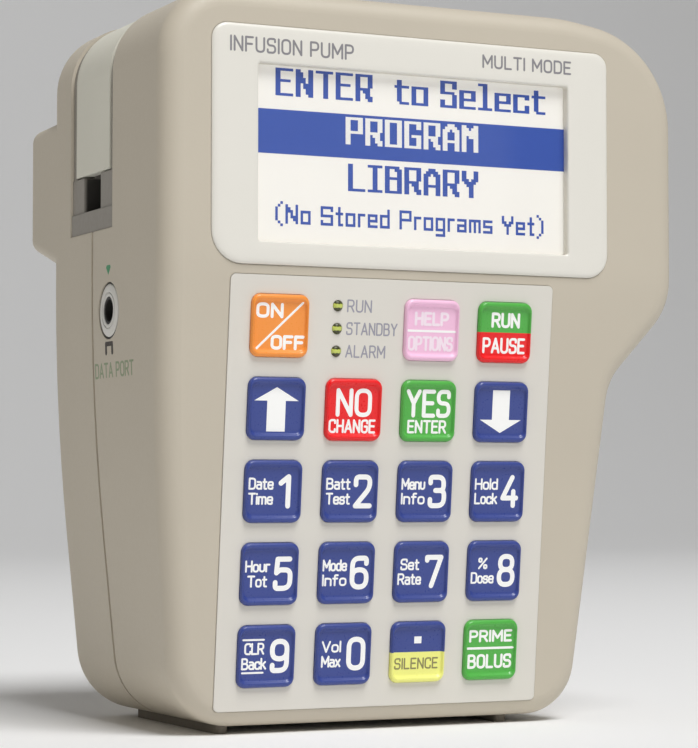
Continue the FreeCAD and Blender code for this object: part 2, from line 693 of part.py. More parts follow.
def gear(teeth, y, z, bore, phase):
    """Involute spur gear in the YZ plane; phase is the angle of one tooth's centre."""
    pressure = math.radians(20)
    backlash = 0.12
    pitch_r = teeth * GEAR_MODULE / 2
    base_r = pitch_r * math.cos(pressure)
    tip_r = pitch_r + 0.85 * GEAR_MODULE
    root_r = pitch_r - 1.15 * GEAR_MODULE
    half_tooth = math.pi / (2 * teeth) - backlash / (2 * pitch_r)
    half_base = half_tooth + math.tan(pressure) - pressure
    flank = [(root_r, half_base)]
    for step in range(5):
        radius = base_r + (tip_r - base_r) * step / 4
        angle = math.acos(base_r / radius)
        flank.append((radius, half_base - math.tan(angle) + angle))
    points = []
    for tooth in range(teeth):
        centre = phase + 2 * math.pi * tooth / teeth
        for radius, half in flank:
            points.append((radius, centre - half))
        for radius, half in reversed(flank):
            points.append((radius, centre + half))
    outline = [V(GEAR_X, y + r * math.cos(a), z + r * math.sin(a)) for r, a in points]
    face = Part.Face(Part.makePolygon(outline + outline[:1]))
    wheel = face.extrude(V(GEAR_WIDTH, 0, 0))
    return wheel.cut(rod(GEAR_X - 1, y, z, bore, GEAR_WIDTH + 2, X_AXIS))


LINE_OF_CENTRES = math.atan2(MOTOR_Z - CAM_Z, MOTOR_Y - TUBE_Y)


def cam_gear():
    wheel = gear(CAM_TEETH, TUBE_Y, CAM_Z, SHAFT_R, LINE_OF_CENTRES + math.pi / CAM_TEETH)
    for i in range(5):
        angle = 2 * math.pi * i / 5
        y = TUBE_Y + 6.6 * math.cos(angle)
        z = CAM_Z + 6.6 * math.sin(angle)
        wheel = wheel.cut(rod(GEAR_X - 1, y, z, 2.2, GEAR_WIDTH + 2, X_AXIS))
    return wheel


def motor_rotor():
    shaft = rod(-10, MOTOR_Y, MOTOR_Z, 1.5, GEAR_X + GEAR_WIDTH + 11, X_AXIS)
    return shaft.fuse(gear(PINION_TEETH, MOTOR_Y, MOTOR_Z, 1.0, LINE_OF_CENTRES + math.pi))


def pump_motor():
    can = rod(-17.2, MOTOR_Y, MOTOR_Z, MOTOR_R, RIGHT_CHEEK_X + 17.2, X_AXIS)
    can = can.makeFillet(1.0, [edge for edge in can.Edges if edge.BoundBox.XLength < 0.01])
    nose = rod(RIGHT_CHEEK_X - 1, MOTOR_Y, MOTOR_Z, 3.0, 3, X_AXIS)
    tail = rod(-19.5, MOTOR_Y, MOTOR_Z, 3.2, 3, X_AXIS)
    can = can.fuse([nose, tail])
    return can.cut(rod(-10.3, MOTOR_Y, MOTOR_Z, 1.5 + RUNNING, 40, X_AXIS))


# ---------------------------------------------------------------- electronics and battery

def main_board():
    board = box(-36, -14.5, 13, 24, -12.9, 76)
    parts = [
        box(-30, -17.5, 52, -12, -14.5, 70),
        box(-6, -16.5, 50, 12, -14.5, 64),
        box(-28, -16.5, 24, -16, -14.5, 36),
        box(-8, -19.5, 16, 16, -14.5, 22),
        rod(-2, -20.5, 38, 4.0, 6, Y_AXIS),
        rod(10, -20.5, 38, 4.0, 6, Y_AXIS),
    ]
    return board.fuse(parts)


def buzzer():
    can = rod(8, -12.9, 66, 6.0, 4.0, Y_AXIS)
    can = can.makeFillet(0.5, [edge for edge in can.Edges if edge.BoundBox.YMin > -9])
    return can.cut(rod(8, -9.5, 66, 1.0, 2, Y_AXIS))


def battery_tray():
    x0, y0, z0, x1, y1, z1 = TRAY
    t = TRAY_WALL
    tray = box(x0, y0, z0, x1, y1, z1)
    tray = tray.cut(box(x0 + t, y0 + t, z0 + t, x1 - t, y1 + 1, z1 - t))
    posts = []
    for x in (x0 + 5, x1 - 5):
        for z in (z0 + 5, z1 - 5):
            posts.append(rod(x, -12.9, z, 2.0, y0 + 12.9, Y_AXIS))
    saddle = box(x0 + 20, y0, CELL_Z[0], x0 + 22, y0 + 6, CELL_Z[1])
    for z in CELL_Z:
        saddle = saddle.cut(rod(x0, CELL_Y, z, CELL_R + 0.3, 60, X_AXIS))
    return tray.fuse(posts + [saddle])


def cell_left_x():
    x0, x1 = TRAY[0], TRAY[3]
    return (x0 + x1 - CELL_LENGTH) / 2


def battery_cells():
    """Two cells side by side, each with its raised positive cap, facing opposite ways."""
    cells = []
    left = cell_left_x()
    for z, side in zip(CELL_Z, (1, -1)):
        can = rod(left, CELL_Y, z, CELL_R, CELL_LENGTH - 1.5, X_AXIS)
        can = can.makeFillet(0.8, [edge for edge in can.Edges if edge.BoundBox.XLength < 0.01])
        can = can.fuse(rod(left + CELL_LENGTH - 1.6, CELL_Y, z, 3.0, 1.6, X_AXIS))
        if side < 0:
            can = can.rotated(V(left + CELL_LENGTH / 2, CELL_Y, z), Z_AXIS, 180)
        cells.append(can)
    return Part.makeCompound(cells)


def battery_contacts():
    """Bowed leaf contacts between the ends of the cells and the ends of the tray."""
    contacts = []
    low = TRAY[0] + TRAY_WALL
    high = TRAY[3] - TRAY_WALL
    left = cell_left_x()
    right = left + CELL_LENGTH
    for z in CELL_Z:
        for wall, cell in ((low, left), (high, right)):
            bow = Part.Arc(V(wall, CELL_Y - 6, z), V(cell, CELL_Y, z), V(wall, CELL_Y + 6, z)).toShape()
            back = Part.LineSegment(V(wall, CELL_Y + 6, z), V(wall, CELL_Y - 6, z)).toShape()
            full = Part.Face(Part.Wire([bow, back])).extrude(V(0, 0, 6))
            inner_tip = cell + (0.5 if wall > cell else -0.5)
            bow = Part.Arc(V(wall, CELL_Y - 5, z), V(inner_tip, CELL_Y, z), V(wall, CELL_Y + 5, z)).toShape()
            back = Part.LineSegment(V(wall, CELL_Y + 5, z), V(wall, CELL_Y - 5, z)).toShape()
            hollow = Part.Face(Part.Wire([bow, back])).extrude(V(0, 0, 6))
            leaf = full.cut(hollow)
            leaf.translate(V(0, 0, -3))
            contacts.append(leaf)
    return Part.makeCompound(contacts)


def battery_door():
    x0, z0, hinge_x, z1 = BATTERY_DOOR
    door = box(x0, REAR_Y - BATTERY_DOOR_THICK, z0, hinge_x, REAR_Y, z1)
    door = door.fuse(rod(hinge_x, BATTERY_HINGE_Y, z0, BATTERY_HINGE_R, z1 - z0, Z_AXIS))
    door = door.cut(rod(hinge_x, BATTERY_HINGE_Y, z0 - 1, BATTERY_PIN_R + RUNNING, z1 - z0 + 2, Z_AXIS))
    for i in range(4):
        x = x0 + 6 + 2.6 * i
        door = door.cut(box(x, REAR_Y - 0.4, z0 + 17, x + 1.2, REAR_Y + 1, z1 - 17))
    return door


def battery_door_pin():
    return rod(BATTERY_DOOR[2], BATTERY_HINGE_Y, 14.4, BATTERY_PIN_R, 58.2, Z_AXIS)


# ---------------------------------------------------------------- hardware

def case_screws():
    screws = []
    for x, z in SCREWS:
        shank = rod(x, SCREW_SEAT_Y - SCREW_LENGTH, z, SCREW_R, SCREW_LENGTH, Y_AXIS)
        head = rod(x, SCREW_SEAT_Y, z, SCREW_HEAD_R, 2.0, Y_AXIS)
        screw = shank.fuse(head)
        for half_x, half_z in ((1.7, 0.35), (0.35, 1.7)):
            screw = screw.cut(box(x - half_x, SCREW_SEAT_Y + 0.8, z - half_z, x + half_x,
                                  SCREW_SEAT_Y + 3, z + half_z))
        screws.append(screw)
    return Part.makeCompound(screws)


def pole_mount_insert():
    sleeve = rod(0, BUMP_Y - INSERT_LENGTH, INSERT_Z, INSERT_R, INSERT_LENGTH, Y_AXIS)
    return sleeve.cut(rod(0, BUMP_Y - INSERT_LENGTH - 1, INSERT_Z, INSERT_BORE_R, 20, Y_AXIS))


# ---------------------------------------------------------------- build

NODES = {
    "front_case": front_case,
    "rear_case": rear_case,
    "case_gasket": case_gasket,
    "screen_bezel": screen_bezel,
    "lcd_window": lcd_window,
    "lcd_module": lcd_module,
    "keypad_fascia": keypad_fascia,
    "dome_sheet": dome_sheet,
    "key_board": key_board,
    "led_lenses": led_lenses,
    "data_socket": data_socket,
    "data_socket_ring": data_socket_ring,
    "channel_insert": channel_insert,
    "tube_door": tube_door,
    "door_pins": door_pins,
    "door_platen": door_platen,
    "air_sensor": air_sensor,
    "pressure_sensor": pressure_sensor,
    "outlet_grommet": outlet_grommet,
    "finger_block": finger_block,
    "camshaft": camshaft,
    "cam_bearings": cam_bearings,
    "cam_gear": cam_gear,
    "motor_rotor": motor_rotor,
    "pump_motor": pump_motor,
    "main_board": main_board,
    "buzzer": buzzer,
    "battery_tray": battery_tray,
    "battery_cells": battery_cells,
    "battery_contacts": battery_contacts,
    "battery_door": battery_door,
    "battery_door_pin": battery_door_pin,
    "foot_rails": rails,
    "case_screws": case_screws,
    "pole_mount_insert": pole_mount_insert,
}


def main():
    os.makedirs("parts", exist_ok=True)
    for name, make in NODES.items():
        save(name, make())
    for name, (column, row) in KEYS.items():
        save(name, key_cap(column, row))
    for i in range(FINGER_COUNT):
        save("finger_" + str(i + 1), finger(i))


main()
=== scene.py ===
import json
import math

import bpy
from mathutils import Matrix, Vector
from mathutils.bvhtree import BVHTree


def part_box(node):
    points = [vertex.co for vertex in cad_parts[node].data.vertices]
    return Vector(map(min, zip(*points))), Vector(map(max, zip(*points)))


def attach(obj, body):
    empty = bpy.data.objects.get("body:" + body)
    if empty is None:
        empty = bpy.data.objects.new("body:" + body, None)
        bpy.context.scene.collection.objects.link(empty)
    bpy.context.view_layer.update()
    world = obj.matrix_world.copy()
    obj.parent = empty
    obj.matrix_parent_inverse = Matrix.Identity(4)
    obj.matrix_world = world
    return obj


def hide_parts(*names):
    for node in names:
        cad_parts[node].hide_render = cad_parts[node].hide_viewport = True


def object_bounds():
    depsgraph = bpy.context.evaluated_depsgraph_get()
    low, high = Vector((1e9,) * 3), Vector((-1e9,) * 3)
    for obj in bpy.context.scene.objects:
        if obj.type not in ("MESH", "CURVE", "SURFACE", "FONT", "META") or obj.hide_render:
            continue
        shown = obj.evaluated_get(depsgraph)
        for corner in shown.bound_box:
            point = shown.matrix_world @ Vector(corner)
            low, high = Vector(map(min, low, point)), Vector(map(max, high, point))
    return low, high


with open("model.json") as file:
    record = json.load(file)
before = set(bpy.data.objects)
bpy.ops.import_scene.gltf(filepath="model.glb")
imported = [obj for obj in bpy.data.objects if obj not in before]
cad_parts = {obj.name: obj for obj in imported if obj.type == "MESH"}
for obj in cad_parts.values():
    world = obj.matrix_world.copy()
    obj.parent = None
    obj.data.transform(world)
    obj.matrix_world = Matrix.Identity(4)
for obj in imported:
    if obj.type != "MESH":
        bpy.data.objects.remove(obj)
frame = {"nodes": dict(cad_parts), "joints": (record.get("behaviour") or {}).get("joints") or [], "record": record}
CAD_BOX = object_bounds()
NODES = frame["nodes"]
MM = 0.001
X_AXIS = Vector((1, 0, 0))

# ---- camera: place in metres, and angles ----
CAMERA_PLACE = Vector((-204.7, -426.3, 40.8)) * MM
CAMERA_YAW = math.radians(25.74)
CAMERA_PITCH = math.radians(2.67)
CAMERA_LENS = 123.1

WHITE_INK = (0.92, 0.92, 0.90)      # linear


def srgb(r, g, b):
    """An sRGB colour from 0 to 255, as linear numbers."""
    def linear(value):
        value /= 255
        return value / 12.92 if value <= 0.04045 else ((value + 0.055) / 1.055) ** 2.4
    return (linear(r), linear(g), linear(b))


# Painted shade: the colour painted inside the tube port for the shade in its hole.
PORT_PAINTED_SHADE = srgb(62, 60, 56)
PORT_SHADE_FADE = 0.4 * MM                # over which the painted shade inside the port deepens
DRIFT = 28.0                        # waves per metre in which a surface's tone drifts
RUB_PLASTIC = 1.35                  # how much lighter a worn edge is than its surface
RUB_METAL = 1.15


# ---------------------------------------------------------------- materials

def node(tree, kind, **values):
    made = tree.nodes.new(kind)
    for name, value in values.items():
        setattr(made, name, value)
    return made


def noise(tree, coordinate, scale, detail):
    made = node(tree, "ShaderNodeTexNoise")
    made.inputs["Scale"].default_value = scale
    made.inputs["Detail"].default_value = detail
    tree.links.new(coordinate, made.inputs["Vector"])
    return made.outputs["Fac"]


def spread(tree, source, low, high, from_low=0.3, from_high=0.7):
    """source, from the given range, spread over low to high."""
    made = node(tree, "ShaderNodeMapRange")
    made.inputs["From Min"].default_value = from_low
    made.inputs["From Max"].default_value = from_high
    made.inputs["To Min"].default_value = low
    made.inputs["To Max"].default_value = high
    tree.links.new(source, made.inputs["Value"])
    return made.outputs["Result"]


def mix_colour(tree, factor, first, second):
    made = node(tree, "ShaderNodeMix", data_type="RGBA")
    tree.links.new(factor, made.inputs["Factor"])
    for socket, value in ((made.inputs["A"], first), (made.inputs["B"], second)):
        if isinstance(value, bpy.types.NodeSocket):
            tree.links.new(value, socket)
        else:
            socket.default_value = (*value, 1)
    return made.outputs["Result"]


def scaled(colour, share):
    return tuple(min(1.0, channel * share) for channel in colour)


def worn_edges(tree, place, rounded, tone, rubbed, wear):
    """The tone, rubbed lighter in patches where the surface turns over an edge."""
    flat = node(tree, "ShaderNodeNewGeometry").outputs["Normal"]
    agree = node(tree, "ShaderNodeVectorMath", operation="DOT_PRODUCT")
    tree.links.new(rounded.outputs["Normal"], agree.inputs[0])
    tree.links.new(flat, agree.inputs[1])
    at_edge = spread(tree, agree.outputs["Value"], 1, 0, 0.80, 0.985)
    patches = spread(tree, noise(tree, place, 260.0, detail=5.0), 0, wear, 0.42, 0.62)
    worn = node(tree, "ShaderNodeMath", operation="MULTIPLY", use_clamp=True)
    tree.links.new(at_edge, worn.inputs[0])
    tree.links.new(patches, worn.inputs[1])
    return mix_colour(tree, worn.outputs["Value"], tone, rubbed)


def painted_port_shade(tree, place, tone, limit):
    """The tone, with painted shade inside the tube port: further in than limit's x and lower than its z."""
    axes = node(tree, "ShaderNodeSeparateXYZ")
    tree.links.new(place, axes.inputs["Vector"])
    deep = spread(tree, axes.outputs["X"], 0, 1, limit[0], limit[0] + PORT_SHADE_FADE)
    low = spread(tree, axes.outputs["Z"], 1, 0, limit[1], limit[1] + PORT_SHADE_FADE)
    inside = node(tree, "ShaderNodeMath", operation="MULTIPLY")
    tree.links.new(deep, inside.inputs[0])
    tree.links.new(low, inside.inputs[1])
    return mix_colour(tree, inside.outputs["Value"], tone, PORT_PAINTED_SHADE)


def finish(name, colour, roughness, grain=900.0, grain_depth=0.02, variation=0.04, edge=0.35, wear=0.25,
           metallic=0.0, coat=0.0, painted_glow=0.0, painted_shade_inside=None):
    """A moulded or machined surface: drifting tone, fine grain, softened edges and worn edges, with an optional
    painted glow and painted shade inside the tube port.

    grain is in waves per metre, grain_depth and edge are in millimetres."""
    material = bpy.data.materials.new(name)
    material.use_nodes = True
    tree = material.node_tree
    shader = tree.nodes["Principled BSDF"]
    place = node(tree, "ShaderNodeTexCoord").outputs["Object"]

    drift = noise(tree, place, DRIFT, detail=4.0)
    tone = mix_colour(tree, spread(tree, drift, 0, 1), scaled(colour, 1 - variation),
                      scaled(colour, 1 + variation))
    fine = noise(tree, place, grain, detail=2.0)
    tree.links.new(spread(tree, fine, roughness - 0.06, roughness + 0.06), shader.inputs["Roughness"])
    bump = node(tree, "ShaderNodeBump")
    bump.inputs["Distance"].default_value = grain_depth * MM
    tree.links.new(fine, bump.inputs["Height"])
    tree.links.new(bump.outputs["Normal"], shader.inputs["Normal"])
    if edge:
        rounded = node(tree, "ShaderNodeBevel", samples=4)
        rounded.inputs["Radius"].default_value = edge * MM
        tree.links.new(rounded.outputs["Normal"], bump.inputs["Normal"])
        rub = RUB_PLASTIC if metallic == 0 else RUB_METAL
        tone = worn_edges(tree, place, rounded, tone, scaled(colour, rub), wear)
    # Painted shade inside the tube port.
    if painted_shade_inside:
        tone = painted_port_shade(tree, place, tone, painted_shade_inside)
    tree.links.new(tone, shader.inputs["Base Color"])
    shader.inputs["Metallic"].default_value = metallic
    shader.inputs["Coat Weight"].default_value = coat
    shader.inputs["Coat Roughness"].default_value = 0.12
    # Painted glow: the surface gives out light of its own colour, as though lit.
    shader.inputs["Emission Color"].default_value = (*colour, 1)
    shader.inputs["Emission Strength"].default_value = painted_glow
    return material


def clear_window():
    """A thin polished window: see-through, with a mirror that grows towards grazing angles."""
    material = bpy.data.materials.new("clear_lens")
    material.use_nodes = True
    tree = material.node_tree
    tree.nodes.remove(tree.nodes["Principled BSDF"])
    place = node(tree, "ShaderNodeTexCoord").outputs["Object"]
    fresnel = node(tree, "ShaderNodeFresnel")
    fresnel.inputs["IOR"].default_value = 1.5
    gloss = node(tree, "ShaderNodeBsdfGlossy")
    smudge = noise(tree, place, 60.0, detail=4.0)
    tree.links.new(spread(tree, smudge, 0.015, 0.07), gloss.inputs["Roughness"])
    through = node(tree, "ShaderNodeBsdfTransparent")
    through.inputs["Color"].default_value = (0.985, 0.98, 0.975, 1)
    behind = node(tree, "ShaderNodeNewGeometry").outputs["Backfacing"]
    facing = node(tree, "ShaderNodeMath", operation="SUBTRACT")
    facing.inputs[0].default_value = 1.0
    tree.links.new(behind, facing.inputs[1])
    mirror = node(tree, "ShaderNodeMath", operation="MULTIPLY")
    tree.links.new(fresnel.outputs["Fac"], mirror.inputs[0])
    tree.links.new(facing.outputs["Value"], mirror.inputs[1])
    blend = node(tree, "ShaderNodeMixShader")
    tree.links.new(mirror.outputs["Value"], blend.inputs["Fac"])
    tree.links.new(through.outputs["BSDF"], blend.inputs[1])
    tree.links.new(gloss.outputs["BSDF"], blend.inputs[2])
    tree.links.new(blend.outputs["Shader"], tree.nodes["Material Output"].inputs["Surface"])
    return material


def key_finish(name, colour):
    return finish(name, colour, 0.32, grain=3000, grain_depth=0.003, variation=0.02, edge=0.15, wear=0.1,
                  coat=0.12)


# Inks can be given a painted glow.
def ink(name, colour, painted_glow=0.0):
    return finish(name, colour, 0.5, grain=3000, grain_depth=0.002, variation=0.02, edge=0.0, painted_glow=painted_glow)


# Painted shade: the port's inside is painted darker than its face, for the shade in the hole: (x, z) where that
# starts, in metres.
PORT_SHADE_START = (CAD_BOX[0].x + 0.7 * MM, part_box("tube_door")[0].z - 0.5 * MM)

PAINT = {
    "case_plastic": finish("case_plastic", srgb(202, 193, 176), 0.52, grain=1500, grain_depth=0.012,
                           variation=0.02, edge=0.3, wear=0.2),
    "bezel_silver": finish("bezel_silver", srgb(235, 232, 223), 0.34, grain=2600, grain_depth=0.004,
                           variation=0.015, edge=0.2, wear=0.1, coat=0.2),
    # Painted glow: the display's ground gives out light so that it stays bright in the shade of the bezel's edge.
    "lcd_glass": finish("lcd_glass", srgb(247, 246, 241), 0.5, grain=2600, grain_depth=0.002,
                        variation=0.01, wear=0.0, painted_glow=0.18),
    "fascia_film": finish("fascia_film", srgb(226, 222, 213), 0.45, grain=2200, grain_depth=0.006,
                          variation=0.015, edge=0.2, wear=0.15),
    "key_orange": key_finish("key_orange", srgb(253, 154, 62)),
    "key_pink": key_finish("key_pink", srgb(251, 200, 230)),
    "key_green": key_finish("key_green", srgb(82, 180, 72)),
    "key_red": key_finish("key_red", srgb(244, 14, 20)),
    "key_blue": key_finish("key_blue", srgb(55, 72, 146)),
    "key_yellow": key_finish("key_yellow", srgb(249, 249, 138)),
    "led_lens": finish("led_lens", srgb(200, 212, 100), 0.2, coat=0.4, wear=0.0),
    "led_cap": finish("led_cap", srgb(62, 64, 30), 0.3, coat=0.3, wear=0.0),
    "silicone": finish("silicone", srgb(214, 214, 208), 0.5, grain_depth=0.01),
    "circuit_board": finish("circuit_board", srgb(40, 112, 66), 0.35, grain=1400, coat=0.3),
    "black_plastic": finish("black_plastic", srgb(46, 45, 43), 0.5),
    "socket_ring": finish("socket_ring", srgb(226, 224, 218), 0.35, grain_depth=0.006),
    # The channel insert's own grey, with painted shade inside the tube port.
    "channel_grey": finish("channel_grey", srgb(152, 147, 139), 0.55, grain_depth=0.015,
                           painted_shade_inside=PORT_SHADE_START),
    "door_grey": finish("door_grey", srgb(227, 225, 211), 0.5, grain=1500, grain_depth=0.01, wear=0.2),
    "steel": finish("steel", srgb(190, 190, 192), 0.32, grain=1800, metallic=1.0),
    "brass": finish("brass", srgb(214, 178, 100), 0.3, grain=1800, metallic=1.0),
    "nickel": finish("nickel", srgb(200, 198, 192), 0.22, grain=1800, metallic=1.0),
    "white_acetal": finish("white_acetal", srgb(232, 232, 228), 0.4),
    "motor_can": finish("motor_can", srgb(180, 180, 182), 0.36, grain=2600, metallic=1.0),
    "cell_jacket": finish("cell_jacket", srgb(58, 60, 66), 0.35, metallic=0.3, coat=0.4),
    "foot_rubber": finish("foot_rubber", srgb(118, 111, 100), 0.75, grain_depth=0.03, wear=0.35),
    "black_rubber": finish("black_rubber", srgb(40, 40, 40), 0.8),
    # Painted glow: the white ink gives out light so that it reads brighter.
    "white_ink": ink("white_ink", WHITE_INK, painted_glow=0.12),
    "pink_ink": ink("pink_ink", srgb(255, 236, 247)),
    "grey_ink": ink("grey_ink", srgb(140, 138, 142)),
    "pale_ink": ink("pale_ink", srgb(158, 157, 170)),
    "dark_ink": ink("dark_ink", srgb(58, 50, 42)),
    "olive_ink": ink("olive_ink", srgb(142, 138, 92)),
    "green_ink": ink("green_ink", srgb(70, 150, 104)),
    "sage_ink": ink("sage_ink", srgb(146, 160, 128)),
    "lcd_blue": ink("lcd_blue", srgb(56, 92, 188)),
    "clear_lens": clear_window(),
}


def paint_cad_nodes():
    for part in frame["record"]["subparts"]:
        slots = NODES[part["node"]].material_slots
        for i in range(len(slots)):
            slots[i].material = PAINT[part["material_slot"]]


# ---------------------------------------------------------------- mesh helpers

SHARP_ANGLE = math.radians(38)
CORNER_STEPS = 8         # segments of a rounded rectangle's corner


def piece(name, points, faces, materials, body, face_materials=None, slot=None):
    """A mesh piece in the object's frame that rides on body."""
    mesh = bpy.data.meshes.new(name)
    mesh.from_pydata([tuple(p) for p in points], [], faces)
    for material in materials:
        mesh.materials.append(PAINT[material])
    if face_materials:
        mesh.polygons.foreach_set("material_index", face_materials)
    mesh.shade_smooth()
    mesh.set_sharp_from_angle(angle=SHARP_ANGLE)
    mesh.update()
    made = bpy.data.objects.new(name, mesh)
    bpy.context.scene.collection.objects.link(made)
    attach(made, body)
    return made


def rounded_loop(width, height, radii):
    """Points round a rounded rectangle, from the middle of its right side, counter-clockwise.

    radii is one corner radius, or four of them from the upper right, counter-clockwise."""
    if not isinstance(radii, tuple):
        radii = (radii,) * 4
    points = [(width / 2, 0)]
    for quarter, (sx, sy) in enumerate(((1, 1), (-1, 1), (-1, -1), (1, -1))):
        radius = radii[quarter]
        cx = sx * (width / 2 - radius)
        cy = sy * (height / 2 - radius)
        if quarter == 2:
            points.append((-width / 2, 0))
        for i in range(CORNER_STEPS + 1):
            angle = math.pi / 2 * (quarter + i / CORNER_STEPS)
            points.append((cx + radius * math.cos(angle), cy + radius * math.sin(angle)))
    return points


def loft(loops):
    """Quads between loops that have the same number of points."""
    count = len(loops[0])
    faces = []
    for ring in range(len(loops) - 1):
        for i in range(count):
            j = (i + 1) % count
            low = ring * count
            high = low + count
            faces.append((low + i, low + j, high + j, high + i))
    return faces


# ---------------------------------------------------------------- keypad frame

PRESS = Vector(next(j["axis"] for j in frame["joints"] if j["name"].startswith("press_")))
OUT = -PRESS.normalized()
UP = OUT.cross(X_AXIS)


def keypad_matrix(x, up, out):
    """A frame on the keypad: x across, y up the slope, z outwards. up and out start at the origin."""
    origin = X_AXIS * x + UP * up + OUT * out
    turn = Matrix((X_AXIS, UP, OUT)).transposed().to_4x4()
    return Matrix.Translation(origin) @ turn


def keypad_span(name):
    """Lowest and highest x, up and out of a CAD node, along the keypad's own directions."""
    points = [v.co for v in NODES[name].data.vertices]
    spans = []
    for direction in (X_AXIS, UP, OUT):
        reach = [p.dot(direction) for p in points]
        spans.append((min(reach), max(reach)))
    return spans


def key_frame(name):
    """The frame at the middle of a key's rim."""
    (x0, x1), (up0, up1), (_, out1) = keypad_span(name)
    return keypad_matrix((x0 + x1) / 2, (up0 + up1) / 2, out1)


# ---------------------------------------------------------------- keys

# In millimetres.
KEY_FLANGE = 0.8         # how far the flange stands out under the film
KEY_CORNER = 1.5         # radius of a key's corners
DISH_DEPTH = 0.55        # from the rim's crest to the flat of the dish
KEY_CREST = 7            # entry of KEY_PROFILE that is the crest of the rim
# (distance in from a side, from the top or bottom edge, height above the rim's crest): from the flange up,
# over the rim and down the dish. The rim is broad along the top and bottom and narrow at the sides.
KEY_PROFILE = (
    (-KEY_FLANGE, -KEY_FLANGE, -2.5), (-KEY_FLANGE, -KEY_FLANGE, -1.9), (0, 0, -1.9), (0, 0, -0.6),
    (0.03, 0.06, -0.33), (0.1, 0.2, -0.13), (0.2, 0.4, -0.03), (0.3, 0.6, 0), (0.37, 0.76, -0.04),
    (0.44, 0.9, -0.15), (0.51, 1.02, -0.3), (0.58, 1.14, -0.43), (0.66, 1.3, -0.52),
    (0.8, 1.6, -DISH_DEPTH),
)


def key_size():
    """Width and height of a key above its flange."""
    (x0, x1), (up0, up1), _ = keypad_span("key_up")
    return (x1 - x0) / MM - 2 * KEY_FLANGE, (up1 - up0) / MM - 2 * KEY_FLANGE


KEY_WIDTH, KEY_HEIGHT = key_size()


def key_top(x, y):
    """Height of the rim or dish under a point of the legend."""
    def along(distance, column):
        inner = KEY_PROFILE[KEY_CREST:]
        for first, second in zip(inner, inner[1:]):
            if distance < second[column]:
                share = max(0.0, (distance - first[column]) / (second[column] - first[column]))
                return first[2] + share * (second[2] - first[2])
        return -DISH_DEPTH
    return max(along(KEY_WIDTH / 2 - abs(x), 0), along(KEY_HEIGHT / 2 - abs(y), 1))


KEY_COLOURS = {
    "on_off": ("key_orange",), "help": ("key_pink",), "run_pause": ("key_green", "key_red"),
    "up": ("key_blue",), "no": ("key_red",), "yes": ("key_green",), "down": ("key_blue",),
    "silence": ("key_blue", "key_yellow"), "prime": ("key_green",),
}
for digit in "1234567890":
    KEY_COLOURS[digit] = ("key_blue",)


def key_cap(name, colours):
    """A square key: flange, straight sides, soft raised rim and a shallow dish, in one or two colours."""
    loops = []
    for side, end, height in KEY_PROFILE:
        loop = rounded_loop(KEY_WIDTH - 2 * side, KEY_HEIGHT - 2 * end, KEY_CORNER - side)
        loops.append([Vector((x, y, height)) for x, y in loop])
    faces = loft(loops)
    count = len(loops[0])
    last = (len(loops) - 1) * count
    half = count // 2
    faces.append(tuple(reversed(range(count))))
    faces.append(tuple(last + i for i in range(half + 1)))
    faces.append(tuple(last + i for i in range(half, count)) + (last,))
    flat = [p for loop in loops for p in loop]
    lower = []
    for face in faces:
        middle = sum(flat[i].y for i in face) / len(face)
        lower.append(1 if middle < 0 and len(colours) > 1 else 0)
    place = key_frame("key_" + name)
    points = [place @ (p * MM) for p in flat]
    cap = piece("key_cap_" + name, points, faces, colours, "key_" + name, lower, slot=colours[0])
    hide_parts("key_" + name)


# ---------------------------------------------------------------- lettering

